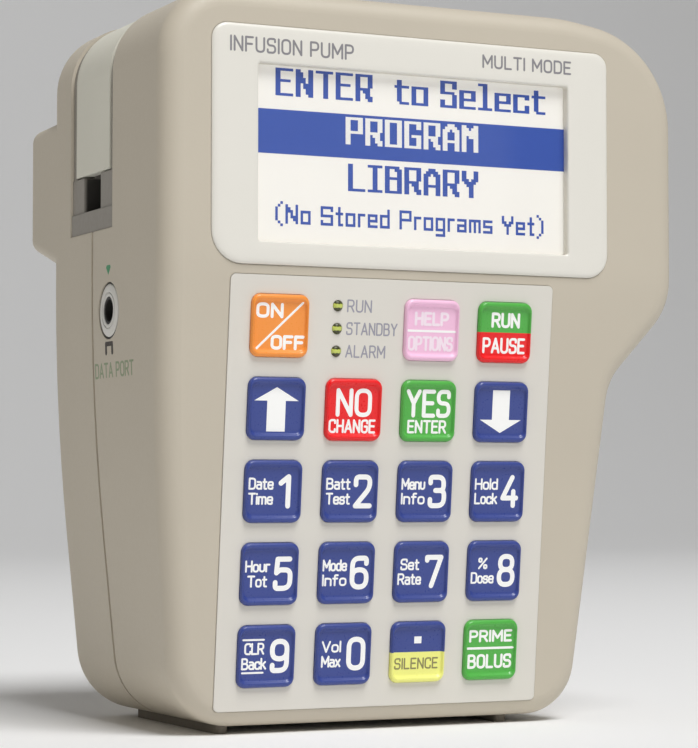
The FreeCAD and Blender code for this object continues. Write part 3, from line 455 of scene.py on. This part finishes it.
# One stroke is a path on a grid where capitals are 6 high and small letters 4. Corners are rounded,
# "!" after a point keeps its corner sharp, "=" before a path keeps them all, and "o" closes the path.
GLYPHS = {
    "0": ("o0,0 3.4,0 3.4,6 0,6",),
    "1": ("=0,4.7 1.5,6 1.5,0",),
    "2": ("0,4.4 0,6 3.4,6 3.4,3.7 0,0! 3.5,0",),
    "3": ("0,4.8 0,6 3.3,6 3.3,3.2 1.3,3.2!", "1.3,3.2! 3.5,3.2 3.5,0 0,0 0,1.3"),
    "4": ("=2.5,6 0,1.6 3.7,1.6", "2.9,3.0 2.9,0"),
    "5": ("=3.2,6 0.4,6 0.2,3.2", "0.2,3.2 0.9,3.8 3.4,3.8 3.4,0 0,0 0,1.2"),
    "6": ("o0,0 3.4,0 3.4,3.6 0,3.6", "3.3,4.9 3.3,6 0,6 0,1.8"),
    "7": ("=0,5.4 0,6 3.4,6 1.2,0",),
    "8": ("o0.2,3.2 3.2,3.2 3.2,6 0.2,6", "o0,0 3.4,0 3.4,3.2 0,3.2"),
    "9": ("o0,2.4 3.4,2.4 3.4,6 0,6", "0.1,1.1 0.1,0 3.4,0 3.4,4.2"),
    "A": ("=0,0 1.9,6 3.8,0", "0.7,1.8 3.1,1.8"),
    "B": ("0,0! 0,6! 3.2,6 3.2,3.2 0,3.2!", "0,3.2! 3.5,3.2 3.5,0 0,0!"),
    "C": ("3.4,4.6 3.4,6 0,6 0,0 3.4,0 3.4,1.4",),
    "D": ("0,0! 0,6! 3.5,6 3.5,0 0,0!",),
    "E": ("=3.1,6 0,6 0,0 3.1,0", "0,3.1 2.7,3.1"),
    "F": ("=3.1,6 0,6 0,0", "0,3.1 2.7,3.1"),
    "G": ("3.4,4.6 3.4,6 0,6 0,0 3.4,0 3.4,2.9! 1.9,2.9",),
    "H": ("0,0 0,6", "3.5,0 3.5,6", "0,3.1 3.5,3.1"),
    "I": ("0,0 0,6",),
    "L": ("=0,6 0,0 3,0",),
    "M": ("=0,0 0,6 2.2,1.8 4.4,6 4.4,0",),
    "N": ("=0,0 0,6 3.5,0 3.5,6",),
    "O": ("o0,0 3.6,0 3.6,6 0,6",),
    "P": ("0,0! 0,6! 3.4,6 3.4,2.7 0,2.7!",),
    "R": ("0,0! 0,6! 3.4,6 3.4,2.8 0,2.8!", "1.9,2.8 3.5,0"),
    "S": ("3.3,4.7 3.3,6 0,6 0,3.1 3.4,3.1 3.4,0 0,0 0,1.3",),
    "T": ("0,6 3.6,6", "1.8,6 1.8,0"),
    "U": ("0,6 0,0 3.5,0 3.5,6",),
    "V": ("=0,6 1.8,0 3.6,6",),
    "Y": ("=0,6 1.8,3 3.6,6", "1.8,3 1.8,0"),
    "a": ("o0,0 2.7,0 2.7,2.4 0,2.4", "0.3,4 2.7,4 2.7,0!"),
    "c": ("2.7,3 2.7,4 0,4 0,0 2.7,0 2.7,1",),
    "d": ("2.8,6 2.8,0", "o0,0 2.8,0 2.8,4 0,4"),
    "e": ("0,2.1! 2.8,2.1! 2.8,4 0,4 0,0 2.7,0 2.7,0.9",),
    "f": ("0.8,0 0.8,6 2.2,6", "0,4 2,4"),
    "g": ("2.7,4! 2.7,-1.7 0.2,-1.7", "o0,0 2.7,0 2.7,4 0,4"),
    "i": ("0,4 0,0", "0,5.6 0,5.9"),
    "k": ("0,6 0,0", "2.5,4 0,1.6", "1,2.5 2.7,0"),
    "l": ("0,6 0,0",),
    "m": ("0,0 0,4", "0,2.6 0,4 2.1,4 2.1,0", "2.1,2.6 2.1,4 4.2,4 4.2,0"),
    "n": ("0,0 0,4", "0,2.6 0,4 2.7,4 2.7,0"),
    "o": ("o0,0 2.8,0 2.8,4 0,4",),
    "r": ("0,0 0,4", "0,2.8 0,4 1.9,4"),
    "s": ("2.5,3.1 2.5,4 0,4 0,2.1 2.6,2.1 2.6,0 0,0 0,0.9",),
    "t": ("0.8,5.6 0.8,0 2,0", "0,4 2,4"),
    "u": ("0,4 0,0 2.7,0 2.7,4",),
    "x": ("0,4 2.7,0", "0,0 2.7,4"),
    "%": ("3.6,6 0,0", "o0,4 1.2,4 1.2,6 0,6", "o2.4,0 3.6,0 3.6,2 2.4,2"),
    "(": ("1.4,7 0,5 0,1 1.4,-1",),
    ")": ("0,7 1.4,5 1.4,1 0,-1",),
    " ": (),
}
# The display's own forms, square enough for its coarse grid.
DISPLAY_GLYPHS = dict(GLYPHS)
DISPLAY_GLYPHS.update({
    "A": ("=0,0 0,4 1.8,6 3.6,4 3.6,0", "0,2.2 3.6,2.2"),
    "I": ("0,6 2,6", "1,6 1,0", "0,0 2,0"),
    "M": ("=0,0 0,6 1.8,3.6 3.6,6 3.6,0",),
    "Y": ("=0,6 0,4 1.8,2.6 3.6,4 3.6,6", "1.8,2.6 1.8,0"),
    "a": ("0.3,4 2.7,4 2.7,0", "=2.7,2.3 0,2.3 0,0 2.7,0"),
    "e": ("0,2 2.8,2 2.8,4 0,4 0,0 2.8,0",),
    "l": ("=0,6 1.2,6 1.2,0", "0,0 2.4,0"),
    "s": ("2.8,4 0,4 0,2 2.8,2 2.8,0 0,0",),
    "t": ("0.8,5.6 0.8,0 2.4,0", "0,4 2.4,4"),
})

# How far a rounded corner starts from its point, in the glyphs' units: in print and on the display.
CORNER = 1.75
DISPLAY_CORNER = 0.8
ARC_STEPS = 6            # segments of a rounded corner and of a stroke's round end
DRAPE_STEP = 0.35        # furthest that points are apart on a curved surface
SPACE_WIDTH = 1.2
PRINT_LOW = -0.01        # a print starts just below the surface it lies on
LAYER_STEP = 0.0006      # and each of its shapes is this much higher than the last


def read_stroke(text):
    """The corner points of one stroke, which corners stay sharp, and whether it closes."""
    closed = text[0] == "o"
    all_sharp = text[0] == "="
    points = []
    sharp = []
    for word in text.lstrip("o=").split():
        sharp.append(all_sharp or word.endswith("!"))
        x, y = word.rstrip("!").split(",")
        points.append(Vector((float(x), float(y))))
    return points, sharp, closed


def smooth_paths(text, corner=CORNER):
    """The stroke as smooth paths: rounded at its round corners and split at its sharp ones."""
    points, sharp, closed = read_stroke(text)
    count = len(points)
    path = []
    paths = [path]
    for i, here in enumerate(points):
        ends = not closed and i in (0, count - 1)
        if ends:
            path.append(here)
            continue
        before = points[i - 1] - here
        after = points[(i + 1) % count] - here
        if sharp[i]:
            path.append(here)
            path = [here]
            paths.append(path)
            continue
        reach = min(corner, before.length / 2, after.length / 2)
        start = here + before.normalized() * reach
        end = here + after.normalized() * reach
        for step in range(ARC_STEPS + 1):
            t = step / ARC_STEPS
            path.append(start * (1 - t) ** 2 + here * (2 * t * (1 - t)) + end * t ** 2)
    if closed:
        path.append(path[0])
    result = []
    for path in paths:
        kept = [p for k, p in enumerate(path) if k == 0 or (p - path[k - 1]).length > 1e-4]
        if len(kept) > 1:
            result.append((kept, closed))
    return result


def glyph_width(letter):
    xs = [p.x for stroke in GLYPHS[letter] for p in read_stroke(stroke)[0]]
    return max(xs) if xs else SPACE_WIDTH


def text_width(text, gap):
    return sum(glyph_width(letter) + gap for letter in text) - gap


def closed_band(path, half, low, high):
    """Points (x, y, height) and faces of a flat band along a path that ends where it starts."""
    sides = ([], [])
    count = len(path) - 1
    for i in range(count):
        along = (path[(i + 1) % count] - path[i - 1]).normalized()
        across = Vector((-along.y, along.x)) * half
        sides[0].append(path[i] + across)
        sides[1].append(path[i] - across)
    points = [(*p, z) for z in (low, high) for side in sides for p in side]
    left, right, left_top, right_top = 0, count, 2 * count, 3 * count
    faces = []
    for i in range(count):
        j = (i + 1) % count
        faces.append((left_top + i, right_top + i, right_top + j, left_top + j))
        faces.append((left + j, right + j, right + i, left + i))
        faces.append((left + i, left_top + i, left_top + j, left + j))
        faces.append((right + j, right_top + j, right_top + i, right + i))
    return points, faces


def round_end(centre, edge):
    """Points of a half circle, clockwise from edge, without its two ends."""
    start = edge - centre
    turned = []
    for step in range(1, ARC_STEPS):
        angle = -math.pi * step / ARC_STEPS
        c, s = math.cos(angle), math.sin(angle)
        turned.append(centre + Vector((start.x * c - start.y * s, start.x * s + start.y * c)))
    return turned


def band_faces(base, side, count):
    """Faces inside an open band's outline: a row of quads and its two round ends.

    The outline has count points from number base on, and side of them are on each long side."""
    cap = ARC_STEPS - 1
    faces = []
    for i in range(side - 1):
        other = side + cap + (side - 1 - i)
        faces.append((base + i, base + i + 1, base + other - 1, base + other))
    faces.append(tuple(base + k for k in range(side - 1, side + cap + 1)))
    faces.append(tuple(base + k % count for k in range(count - cap - 1, count + 1)))
    return faces


def open_band(path, half, low, high):
    """Points (x, y, height) and faces of a flat band along a path, with round ends."""
    last = len(path) - 1
    left = []
    right = []
    for i, here in enumerate(path):
        along = (path[min(i + 1, last)] - path[max(i - 1, 0)]).normalized()
        across = Vector((-along.y, along.x)) * half
        left.append(here + across)
        right.append(here - across)
    outline = left + round_end(path[-1], left[-1]) + right[::-1] + round_end(path[0], right[0])
    count = len(outline)
    points = [(*p, z) for z in (low, high) for p in outline]
    faces = []
    for i in range(count):
        j = (i + 1) % count
        faces.append((j, i, count + i, count + j))
    faces += band_faces(0, len(path), count)
    faces += [tuple(reversed(face)) for face in band_faces(count, len(path), count)]
    return points, faces


def finer(path):
    """The path with more points, so that it can follow a curved surface."""
    points = [path[0]]
    for start, end in zip(path, path[1:]):
        count = max(1, math.ceil((end - start).length / DRAPE_STEP))
        for k in range(1, count + 1):
            points.append(start.lerp(end, k / count))
    return points


class Print:
    """Collects flat printed shapes in a local frame: lettering, lines and filled outlines."""

    def __init__(self, low, thick=0.03, drape=None):
        """drape gives the height of the surface under a point; without it the surface is flat."""
        self.points = []
        self.faces = []
        self.low = low
        self.thick = thick
        self.drape = drape
        self.layer = 0

    def add(self, points, faces):
        start = len(self.points)
        self.points += points
        self.faces += [tuple(start + i for i in face) for face in faces]

    def heights(self):
        """Each shape is a hair higher than the last, so that no two printed faces coincide."""
        self.layer += 1
        return self.low, self.low + self.thick + LAYER_STEP * self.layer

    def stroke(self, path, half, closed=False):
        if self.drape:
            path = finer(path)
        band = closed_band if closed else open_band
        self.add(*band(path, half, *self.heights()))

    def line(self, x0, y0, x1, y1, width):
        self.stroke([Vector((x0, y0)), Vector((x1, y1))], width / 2)

    def shape(self, outline):
        """A filled outline, given counter-clockwise."""
        low, high = self.heights()
        count = len(outline)
        points = [(x, y, z) for z in (low, high) for x, y in outline]
        faces = [tuple(reversed(range(count))), tuple(range(count, 2 * count))]
        for i in range(count):
            j = (i + 1) % count
            faces.append((i, j, count + j, count + i))
        self.add(points, faces)

    def text(self, text, cx, y, height, weight, width, gap=1.5):
        """One centred line of lettering; height is of its capitals, weight the width of a stroke."""
        unit = (height - weight) / 6
        squeeze = (width - weight) / (text_width(text, gap) * unit)
        x = cx - (width - weight) / 2
        for letter in text:
            for stroke in GLYPHS[letter]:
                for path, closed in smooth_paths(stroke):
                    placed = [Vector((x + p.x * unit * squeeze, y + weight / 2 + p.y * unit)) for p in path]
                    self.stroke(placed, weight / 2, closed)
            x += (glyph_width(letter) + gap) * unit * squeeze

    def made(self, name, material, body, place):
        points = [Vector(p) for p in self.points]
        if self.drape:
            for p in points:
                p.z += self.drape(p.x, p.y)
        return piece(name, [place(p) for p in points], self.faces, (material,), body)


def on_frame(matrix):
    return lambda p: matrix @ (p * MM)


# ---------------------------------------------------------------- legends on the keys

def half_turn(outline):
    return tuple((-x, -y) for x, y in outline)


# Places and sizes in millimetres, from the middle of the key. A mark is a word (letters, centre, foot,
# height, stroke width, width), a line (from x, y to x, y, width), or a filled outline.
ARROW = ((-1.7, -3.85), (1.7, -3.85), (1.7, 1.35), (4.1, 1.35), (0, 3.65), (-4.1, 1.35), (-1.7, 1.35))
WHITE_MARKS = {
    "on_off": (("ON", -1.9, 1.25, 2.6, 0.54, 5.0), ("OFF", 1.55, -4.05, 2.5, 0.54, 6.2),
               (-4.45, -4.2, 4.4, 4.2, 0.38)),
    "help": ((-4.5, -0.14, 4.5, -0.14, 0.4),),
    "run_pause": (("RUN", 0.2, 0.8, 2.7, 0.5, 5.7), ("PAUSE", 0, -3.7, 2.8, 0.44, 8.5)),
    "up": (ARROW,),
    "down": (half_turn(ARROW),),
    "no": (("NO", 0.1, -1.2, 4.9, 0.74, 6.8), ("CHANGE", -0.1, -4.0, 2.4, 0.38, 8.9)),
    "yes": (("YES", 0.05, -1.15, 4.9, 0.72, 8.7), ("ENTER", -0.1, -3.9, 2.35, 0.38, 7.6)),
    "silence": (((-0.7, 1.5), (0.7, 1.5), (0.7, 2.7), (-0.7, 2.7)),),
    "prime": (("PRIME", 0.05, 1.35, 2.2, 0.42, 8.6), (-4.5, 0.3, 4.5, 0.3, 0.4),
              ("BOLUS", 0, -3.3, 2.55, 0.44, 8.8)),
}
# Marks in a second ink, where a key has one.
SECOND_MARKS = {
    "help": ("pink_ink", (("HELP", 0, 0.75, 2.45, 0.5, 6.7), ("OPTIONS", -0.1, -3.6, 2.6, 0.45, 8.8))),
    "silence": ("olive_ink", (("SILENCE", -0.15, -3.0, 2.0, 0.27, 8.5),)),
}
# Beside each digit: the upper word, the lower word, and whether rules run above and below them.
SMALL_WORDS = {
    "1": ("Date", "Time"), "2": ("Batt", "Test"), "3": ("Menu", "Info"), "4": ("Hold", "Lock"),
    "5": ("Hour", "Tot"), "6": ("Mode", "Info"), "7": ("Set", "Rate"), "8": ("%", "Dose"),
    "9": ("CLR", "Back", True), "0": ("Vol", "Max"),
}
DIGIT_FOOT = -2.9
DIGIT_HEIGHT = 5.85
# Centre, stroke width and width of a large digit: of the narrow 1, and of the others.
NARROW_DIGIT = (2.15, 0.9, 2.3)
WIDE_DIGIT = (2.5, 0.88, 3.6)
WORD_CENTRE = -2.2
WORD_FEET = (0.3, -2.25)
WORD_HEIGHT = 2.05
WORD_WEIGHT = 0.33
WORD_GAP = 1.15          # between its letters, in the glyphs' units
WORD_START = 0.9         # a word's width is this, and LETTER_WIDTH for each letter
LETTER_WIDTH = 0.93
RULE_ENDS = (-4.3, -0.5)
RULE_HEIGHTS = (2.85, -2.75)
RULE_WIDTH = 0.32


def add_marks(print_, marks):
    for mark in marks:
        if isinstance(mark[0], str):
            print_.text(*mark)
        elif isinstance(mark[0], tuple):
            print_.shape(mark)
        else:
            print_.line(*mark)


def digit_marks(print_, digit, upper, lower, rules=False):
    """A large digit on the right with two small words on its left."""
    centre, weight, width = NARROW_DIGIT if digit == "1" else WIDE_DIGIT
    print_.text(digit, centre, DIGIT_FOOT, DIGIT_HEIGHT, weight, width)
    for word, foot in zip((upper, lower), WORD_FEET):
        width = WORD_START + LETTER_WIDTH * len(word)
        print_.text(word, WORD_CENTRE, foot, WORD_HEIGHT, WORD_WEIGHT, width, gap=WORD_GAP)
    if rules:
        for height in RULE_HEIGHTS:
            print_.line(RULE_ENDS[0], height, RULE_ENDS[1], height, RULE_WIDTH)


def legend(name):
    """The printing on one key: the white part, and a second ink where the key has one."""
    place = on_frame(key_frame("key_" + name))
    white = Print(PRINT_LOW, drape=key_top)
    if name in SMALL_WORDS:
        digit_marks(white, name, *SMALL_WORDS[name])
    else:
        add_marks(white, WHITE_MARKS[name])
    white.made("legend_" + name, "white_ink", "key_" + name, place)
    if name in SECOND_MARKS:
        second_ink, marks = SECOND_MARKS[name]
        second = Print(PRINT_LOW, drape=key_top)
        add_marks(second, marks)
        second.made("legend_second_" + name, second_ink, "key_" + name, place)


def make_keys():
    for name, colours in KEY_COLOURS.items():
        key_cap(name, colours)
        legend(name)


# ---------------------------------------------------------------- status lights

LIGHT_OVER = 1.01        # the dome is this much wider than the lens under it
LIGHT_HEIGHT = 0.45      # of the dome above the film, in millimetres
LIGHT_ROOT = -1.0        # where it ends under the film's face
LIGHT_BAND = 0.38        # half width of its bright band, as a share of its radius
LIGHT_STEPS = 32
LIGHT_RINGS = 6


def light_dome(radius):
    """Points and faces of a domed light, and for each face whether it is in a dark cap."""
    points = []
    for ring in range(1, LIGHT_RINGS + 1):
        share = ring / LIGHT_RINGS
        height = (LIGHT_HEIGHT * MM) * math.sqrt(1 - share ** 2)
        for i in range(LIGHT_STEPS):
            angle = 2 * math.pi * (i + 0.5) / LIGHT_STEPS
            x = share * radius * math.cos(angle)
            points.append(Vector((x, share * radius * math.sin(angle), height)))
    top = len(points)
    points.append(Vector((0, 0, LIGHT_HEIGHT * MM)))
    base = len(points)
    points += [Vector((p.x, p.y, LIGHT_ROOT * MM)) for p in points[top - LIGHT_STEPS:top]]
    faces = [(top, i, (i + 1) % LIGHT_STEPS) for i in range(LIGHT_STEPS)]
    faces += [tuple(reversed(face)) for face in loft([range(LIGHT_STEPS)] * LIGHT_RINGS)]
    for i in range(LIGHT_STEPS):
        j = (i + 1) % LIGHT_STEPS
        faces.append((top - LIGHT_STEPS + j, top - LIGHT_STEPS + i, base + i, base + j))
    faces.append(tuple(reversed(range(base, base + LIGHT_STEPS))))
    caps = []
    for face in faces:
        middle = sum(points[i].y for i in face) / len(face)
        caps.append(1 if abs(middle) > LIGHT_BAND * radius else 0)
    return points, faces, caps


def status_lights():
    """Three domed lights, each a bright band between two dark caps, and their words on the film."""
    (x0, x1), (up0, up1), _ = keypad_span("led_lenses")
    film_out = keypad_span("keypad_fascia")[2][1]
    radius = LIGHT_OVER * (x1 - x0) / 2
    row_ups = (up1 - radius, (up0 + up1) / 2, up0 + radius)
    words_and_widths = (("RUN", 4.7), ("STANDBY", 9.75), ("ALARM", 7.6))
    for number, (up, (word, width)) in enumerate(zip(row_ups, words_and_widths), 1):
        matrix = keypad_matrix((x0 + x1) / 2, up, film_out)
        points, faces, caps = light_dome(radius)
        piece("status_light_" + str(number), [matrix @ p for p in points], faces,
              ("led_lens", "led_cap"), "case", caps, slot="led_lens")
        words = Print(PRINT_LOW)
        words.text(word, 1.75 + width / 2, -1.05, 2.2, 0.26, width)
        words.made("status_word_" + str(number), "pale_ink", "case", on_frame(matrix))


# ---------------------------------------------------------------- screen

def head_frame(name):
    """The frame at the middle of a node on the head: x across, y up, z towards the front."""
    low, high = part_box(name)
    middle = (low + high) / 2
    turn = Matrix((X_AXIS, (0, 0, 1), (0, -1, 0))).transposed().to_4x4()
    return Matrix.Translation((middle.x, low.y, middle.z)) @ turn


# In millimetres. A corner's radius: upper right, upper left, lower left, lower right.
BEZEL_CORNERS = (2.65, 2.85, 5.55, 4.25)
# (distance in from the outer edge, height from the face), then (distance out from the opening, height).
BEZEL_EDGE = ((0, -0.42), (0.10, -0.30), (0.30, -0.17), (0.65, -0.08), (1.2, -0.03), (2.0, 0))
BEZEL_LIP = ((1.2, 0), (0.35, 0), (0.12, -0.05), (0, -0.2))
OPENING_CORNER = 0.6
OPENING_MARGIN = 0.1     # the opening and the picture are this much larger than the window
TITLE_WIDTH = 23.0
TITLE_INSET = 3.1        # from the bezel's left edge
MODE_WIDTH = 18.0
MODE_INSET = 7.6         # from its right edge


def bezel_words(place, width, height):
    """The two lines of lettering above the screen."""
    words = Print(PRINT_LOW, 0.02)
    left_centre = TITLE_INSET + TITLE_WIDTH / 2 - width / 2
    right_centre = width / 2 - MODE_INSET - MODE_WIDTH / 2
    words.text("INFUSION PUMP", left_centre, height / 2 - 4.85, 2.7, 0.36, TITLE_WIDTH, gap=1.6)
    words.text("MULTI MODE", right_centre, height / 2 - 4.3, 2.4, 0.34, MODE_WIDTH, gap=1.6)
    words.made("bezel_words", "grey_ink", "case", place)


def screen_bezel():
    """The frame round the screen, with a pillowed edge outside and a small round-over at the opening."""
    low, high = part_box("screen_bezel")
    win_low, win_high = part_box("lcd_window")
    width, depth, height = (high - low) / MM
    middle = (low + high) / 2
    win_middle = (win_low + win_high) / 2
    shift = (win_middle - middle) / MM
    opening = (win_high - win_low) / MM + Vector((OPENING_MARGIN, 0, OPENING_MARGIN))
    loops = []
    for inset, level in ((0, -depth), *BEZEL_EDGE):
        radii = tuple(corner - inset * 0.9 for corner in BEZEL_CORNERS)
        loop = rounded_loop(width - 2 * inset, height - 2 * inset, radii)
        loops.append([Vector((x, y, level)) for x, y in loop])
    for outset, level in (*BEZEL_LIP, (0, -depth)):
        radius = OPENING_CORNER + outset * 0.6
        loop = rounded_loop(opening.x + 2 * outset, opening.z + 2 * outset, radius)
        loops.append([Vector((x + shift.x, y + shift.z, level)) for x, y in loop])
    faces = loft(loops)
    count = len(loops[0])
    last = (len(loops) - 1) * count
    for i in range(count):
        j = (i + 1) % count
        faces.append((last + i, last + j, j, i))
    place = on_frame(head_frame("screen_bezel"))
    bezel = piece("bezel_frame", [place(p) for loop in loops for p in loop], faces, ("bezel_silver",),
                  "case", slot="bezel_silver")
    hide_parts("screen_bezel")
    bezel_words(place, width, height)


PIXELS_WIDE = 128
PIXELS_HIGH = 64
PIXEL_ROW = 16           # rows that a menu line takes
PIXEL_GAP = 0.004        # between lit cells, in millimetres
PEN_STEPS = 6            # places where the pen marks a cell, along one unit of a stroke
# Columns that a letter takes on the display, with the gap after it.
LARGE_LETTERS = {"capital": 8, "small": 8, "narrow": 7, "space": 4}
SMALL_LETTERS = {"capital": 6, "small": 5, "narrow": 4, "space": 3}


def letter_columns(letter, columns):
    if letter == " ":
        return columns["space"]
    if letter in "Ilrt()":
        return columns["narrow"]
    return columns["capital" if letter.isupper() or letter == "m" else "small"]


def pixel_cells(text, base, rows, columns, bold, corner):
    """The display cells that a line of lettering lights, drawn with a pen that is 1 + bold cells wide."""
    cells = set()
    left = 0
    for letter in text:
        strokes = DISPLAY_GLYPHS[letter]
        width = max((p.x for stroke in strokes for p in read_stroke(stroke)[0]), default=1.0)
        wide = (letter_columns(letter, columns) - 2 - bold) / width
        high = (rows - 1) / 6
        for path, _ in (found for stroke in strokes for found in smooth_paths(stroke, corner)):
            for start, end in zip(path, path[1:]):
                steps = max(1, int((end - start).length * PEN_STEPS))
                for k in range(steps + 1):
                    p = start.lerp(end, k / steps)
                    column = left + int(p.x * wide + 0.5)
                    row = base + int(math.floor(p.y * high + 0.5))
                    cells.update((column + extra, row) for extra in range(1 + bold))
        left += letter_columns(letter, columns)
    return cells


def centred_cells(text, row_top, rows, columns, bold=1, corner=DISPLAY_CORNER):
    """A centred line whose capitals are this many rows high and hang just under row_top."""
    cells = pixel_cells(text, PIXELS_HIGH - row_top - rows, rows, columns, bold, corner)
    used = [column for column, _ in cells]
    shift = round((PIXELS_WIDE - 1 - min(used) - max(used)) / 2)
    return {(column + shift, row) for column, row in cells}


def runs_of(columns):
    """The first and last of each run of neighbours among sorted columns."""
    runs = []
    for column in columns:
        if runs and column == runs[-1][1] + 1:
            runs[-1][1] = column
        else:
            runs.append([column, column])
    return runs


def display_print(cells, width, height, low):
    """Lit cells as short bars, one for each run along a row."""
    pitch_x = width / PIXELS_WIDE
    pitch_y = height / PIXELS_HIGH
    lit = Print(low, 0.02)
    for row in range(PIXELS_HIGH):
        for first, last in runs_of(sorted(c for c, r in cells if r == row)):
            x0 = first * pitch_x - width / 2
            x1 = (last + 1) * pitch_x - width / 2 - PIXEL_GAP
            y0 = row * pitch_y - height / 2
            y1 = y0 + pitch_y - PIXEL_GAP
            lit.layer = 0    # the bars do not overlap, so they share one height
            lit.shape([(x0, y0), (x1, y0), (x1, y1), (x0, y1)])
    return lit


def display_picture():
    """The menu on the display: dark letters, and one inverted line."""
    low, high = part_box("lcd_window")
    width, _, height = (high - low) / MM
    width += OPENING_MARGIN
    height += OPENING_MARGIN
    matrix = head_frame("lcd_module")
    window = (low + high) / 2
    matrix.translation.x = window.x
    matrix.translation.z = window.z
    place = on_frame(matrix)
    dark = centred_cells("ENTER  to Select", 1, 10, LARGE_LETTERS)
    dark |= centred_cells("LIBRARY", 34, 10, LARGE_LETTERS)
    dark |= centred_cells("(No Stored Programs Yet)", 50, 7, SMALL_LETTERS, bold=0, corner=0)
    display_print(dark, width, height, 0.005).made("display_text", "lcd_blue", "case", place)
    bar = Print(0.005, 0.02)
    top = height / 2 - PIXEL_ROW * height / PIXELS_HIGH
    low_edge = top - PIXEL_ROW * height / PIXELS_HIGH
    bar.shape([(-width / 2, low_edge), (width / 2, low_edge), (width / 2, top), (-width / 2, top)])
    bar.made("display_bar", "lcd_blue", "case", place)
    light = centred_cells("PROGRAM", 17, 10, LARGE_LETTERS)
    display_print(light, width, height, 0.02).made("display_bar_text", "white_ink", "case", place)


# ---------------------------------------------------------------- marks beside the socket

def on_left_side():
    """Places a print on the left side of the case, round the socket: x towards the front, y up."""
    case = NODES["front_case"]
    tree = BVHTree.FromPolygons([v.co for v in case.data.vertices],
                                [tuple(p.vertices) for p in case.data.polygons])
    low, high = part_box("data_socket_ring")
    middle = (low + high) / 2
    far = CAD_BOX[0].x - 10 * MM

    def place(p):
        start = Vector((far, middle.y - p.x * MM, middle.z + p.y * MM))
        hit = tree.ray_cast(start, X_AXIS)[0]
        return hit - X_AXIS * p.z * MM
    return place


def socket_marks():
    place = on_left_side()
    pointer = Print(PRINT_LOW)
    pointer.shape([(-1.1, 7.5), (0, 6.2), (1.1, 7.5), (0.8, 7.9), (-0.8, 7.9)])
    pointer.made("socket_pointer", "green_ink", "case", place)
    arch = Print(PRINT_LOW)
    arch.line(-1.5, -7.3, -1.5, -5.8, 0.9)
    arch.line(-1.5, -5.8, 1.5, -5.8, 0.8)
    arch.line(1.5, -5.8, 1.5, -7.3, 0.9)
    arch.made("socket_symbol", "dark_ink", "case", place)
    word = Print(PRINT_LOW)
    word.text("DATA PORT", 2.15, -11.7, 2.7, 0.38, 18.8)
    word.made("socket_word", "sage_ink", "case", place)


# ---------------------------------------------------------------- stage, lights and camera

# In metres.
FLOOR_HALF = 6.0         # half the floor's width, and its reach in front of the object
SWEEP_START = 1.2        # where the floor begins to rise, behind the object
SWEEP_RADIUS = 1.2
SWEEP_STEPS = 12
BACKDROP_TOP = 5.0
FLOOR_GREY = 0.93


def floor():
    """A pale floor that sweeps up into a backdrop well behind the object."""
    profile = [(-FLOOR_HALF, 0.0), (SWEEP_START, 0.0)]
    for i in range(1, SWEEP_STEPS + 1):
        angle = math.pi / 2 * i / SWEEP_STEPS
        profile.append((SWEEP_START + SWEEP_RADIUS * math.sin(angle), SWEEP_RADIUS * (1 - math.cos(angle))))
    profile.append((SWEEP_START + SWEEP_RADIUS, BACKDROP_TOP))
    points = []
    for y, z in profile:
        points += [(-FLOOR_HALF, y, z), (FLOOR_HALF, y, z)]
    faces = []
    for i in range(len(profile) - 1):
        faces.append((2 * i, 2 * i + 1, 2 * i + 3, 2 * i + 2))
    mesh = bpy.data.meshes.new("floor")
    mesh.from_pydata(points, [], faces)
    mesh.shade_smooth()
    material = bpy.data.materials.new("studio_floor")
    material.use_nodes = True
    shader = material.node_tree.nodes["Principled BSDF"]
    shader.inputs["Base Color"].default_value = (FLOOR_GREY, FLOOR_GREY, FLOOR_GREY, 1)
    shader.inputs["Roughness"].default_value = 0.7
    mesh.materials.append(material)
    made = bpy.data.objects.new("floor", mesh)
    bpy.context.scene.collection.objects.link(made)


def area_light(name, place, target, width, height, power, colour=(1, 1, 1)):
    data = bpy.data.lights.new(name, "AREA")
    data.shape = "RECTANGLE"
    data.size = width
    data.size_y = height
    data.energy = power
    data.color = colour
    made = bpy.data.objects.new(name, data)
    made.location = place
    made.rotation_euler = (Vector(target) - Vector(place)).to_track_quat("-Z", "Y").to_euler()
    bpy.context.scene.collection.objects.link(made)


def lights():
    target = (0, 0, 0.06)
    area_light("key_light", (0.20, -1.27, 2.31), target, 1.2, 1.2, 58.0)
    area_light("screen_card", (0.36, -1.15, 0.20), (0, -0.035, 0.10), 0.50, 0.9, 0.8)
    area_light("left_fill", (-1.3, -0.1, 0.6), target, 0.9, 0.9, 0.9, (1.0, 0.86, 0.62))
    world = bpy.data.worlds.new("studio")
    world.use_nodes = True
    background = world.node_tree.nodes["Background"]
    background.inputs["Color"].default_value = (1.0, 0.99, 0.975, 1)
    background.inputs["Strength"].default_value = 0.13
    bpy.context.scene.world = world


def camera():
    data = bpy.data.cameras.new("camera")
    data.lens = CAMERA_LENS
    data.sensor_width = 36.0
    data.clip_start = 0.01
    made = bpy.data.objects.new("camera", data)
    made.location = CAMERA_PLACE
    made.rotation_euler = (math.pi / 2 + CAMERA_PITCH, 0, -CAMERA_YAW)
    bpy.context.scene.collection.objects.link(made)
    bpy.context.scene.camera = made
    bpy.context.scene.view_settings.view_transform = "Standard"


paint_cad_nodes()
make_keys()
status_lights()
screen_bezel()
display_picture()
socket_marks()
floor()
lights()
camera()
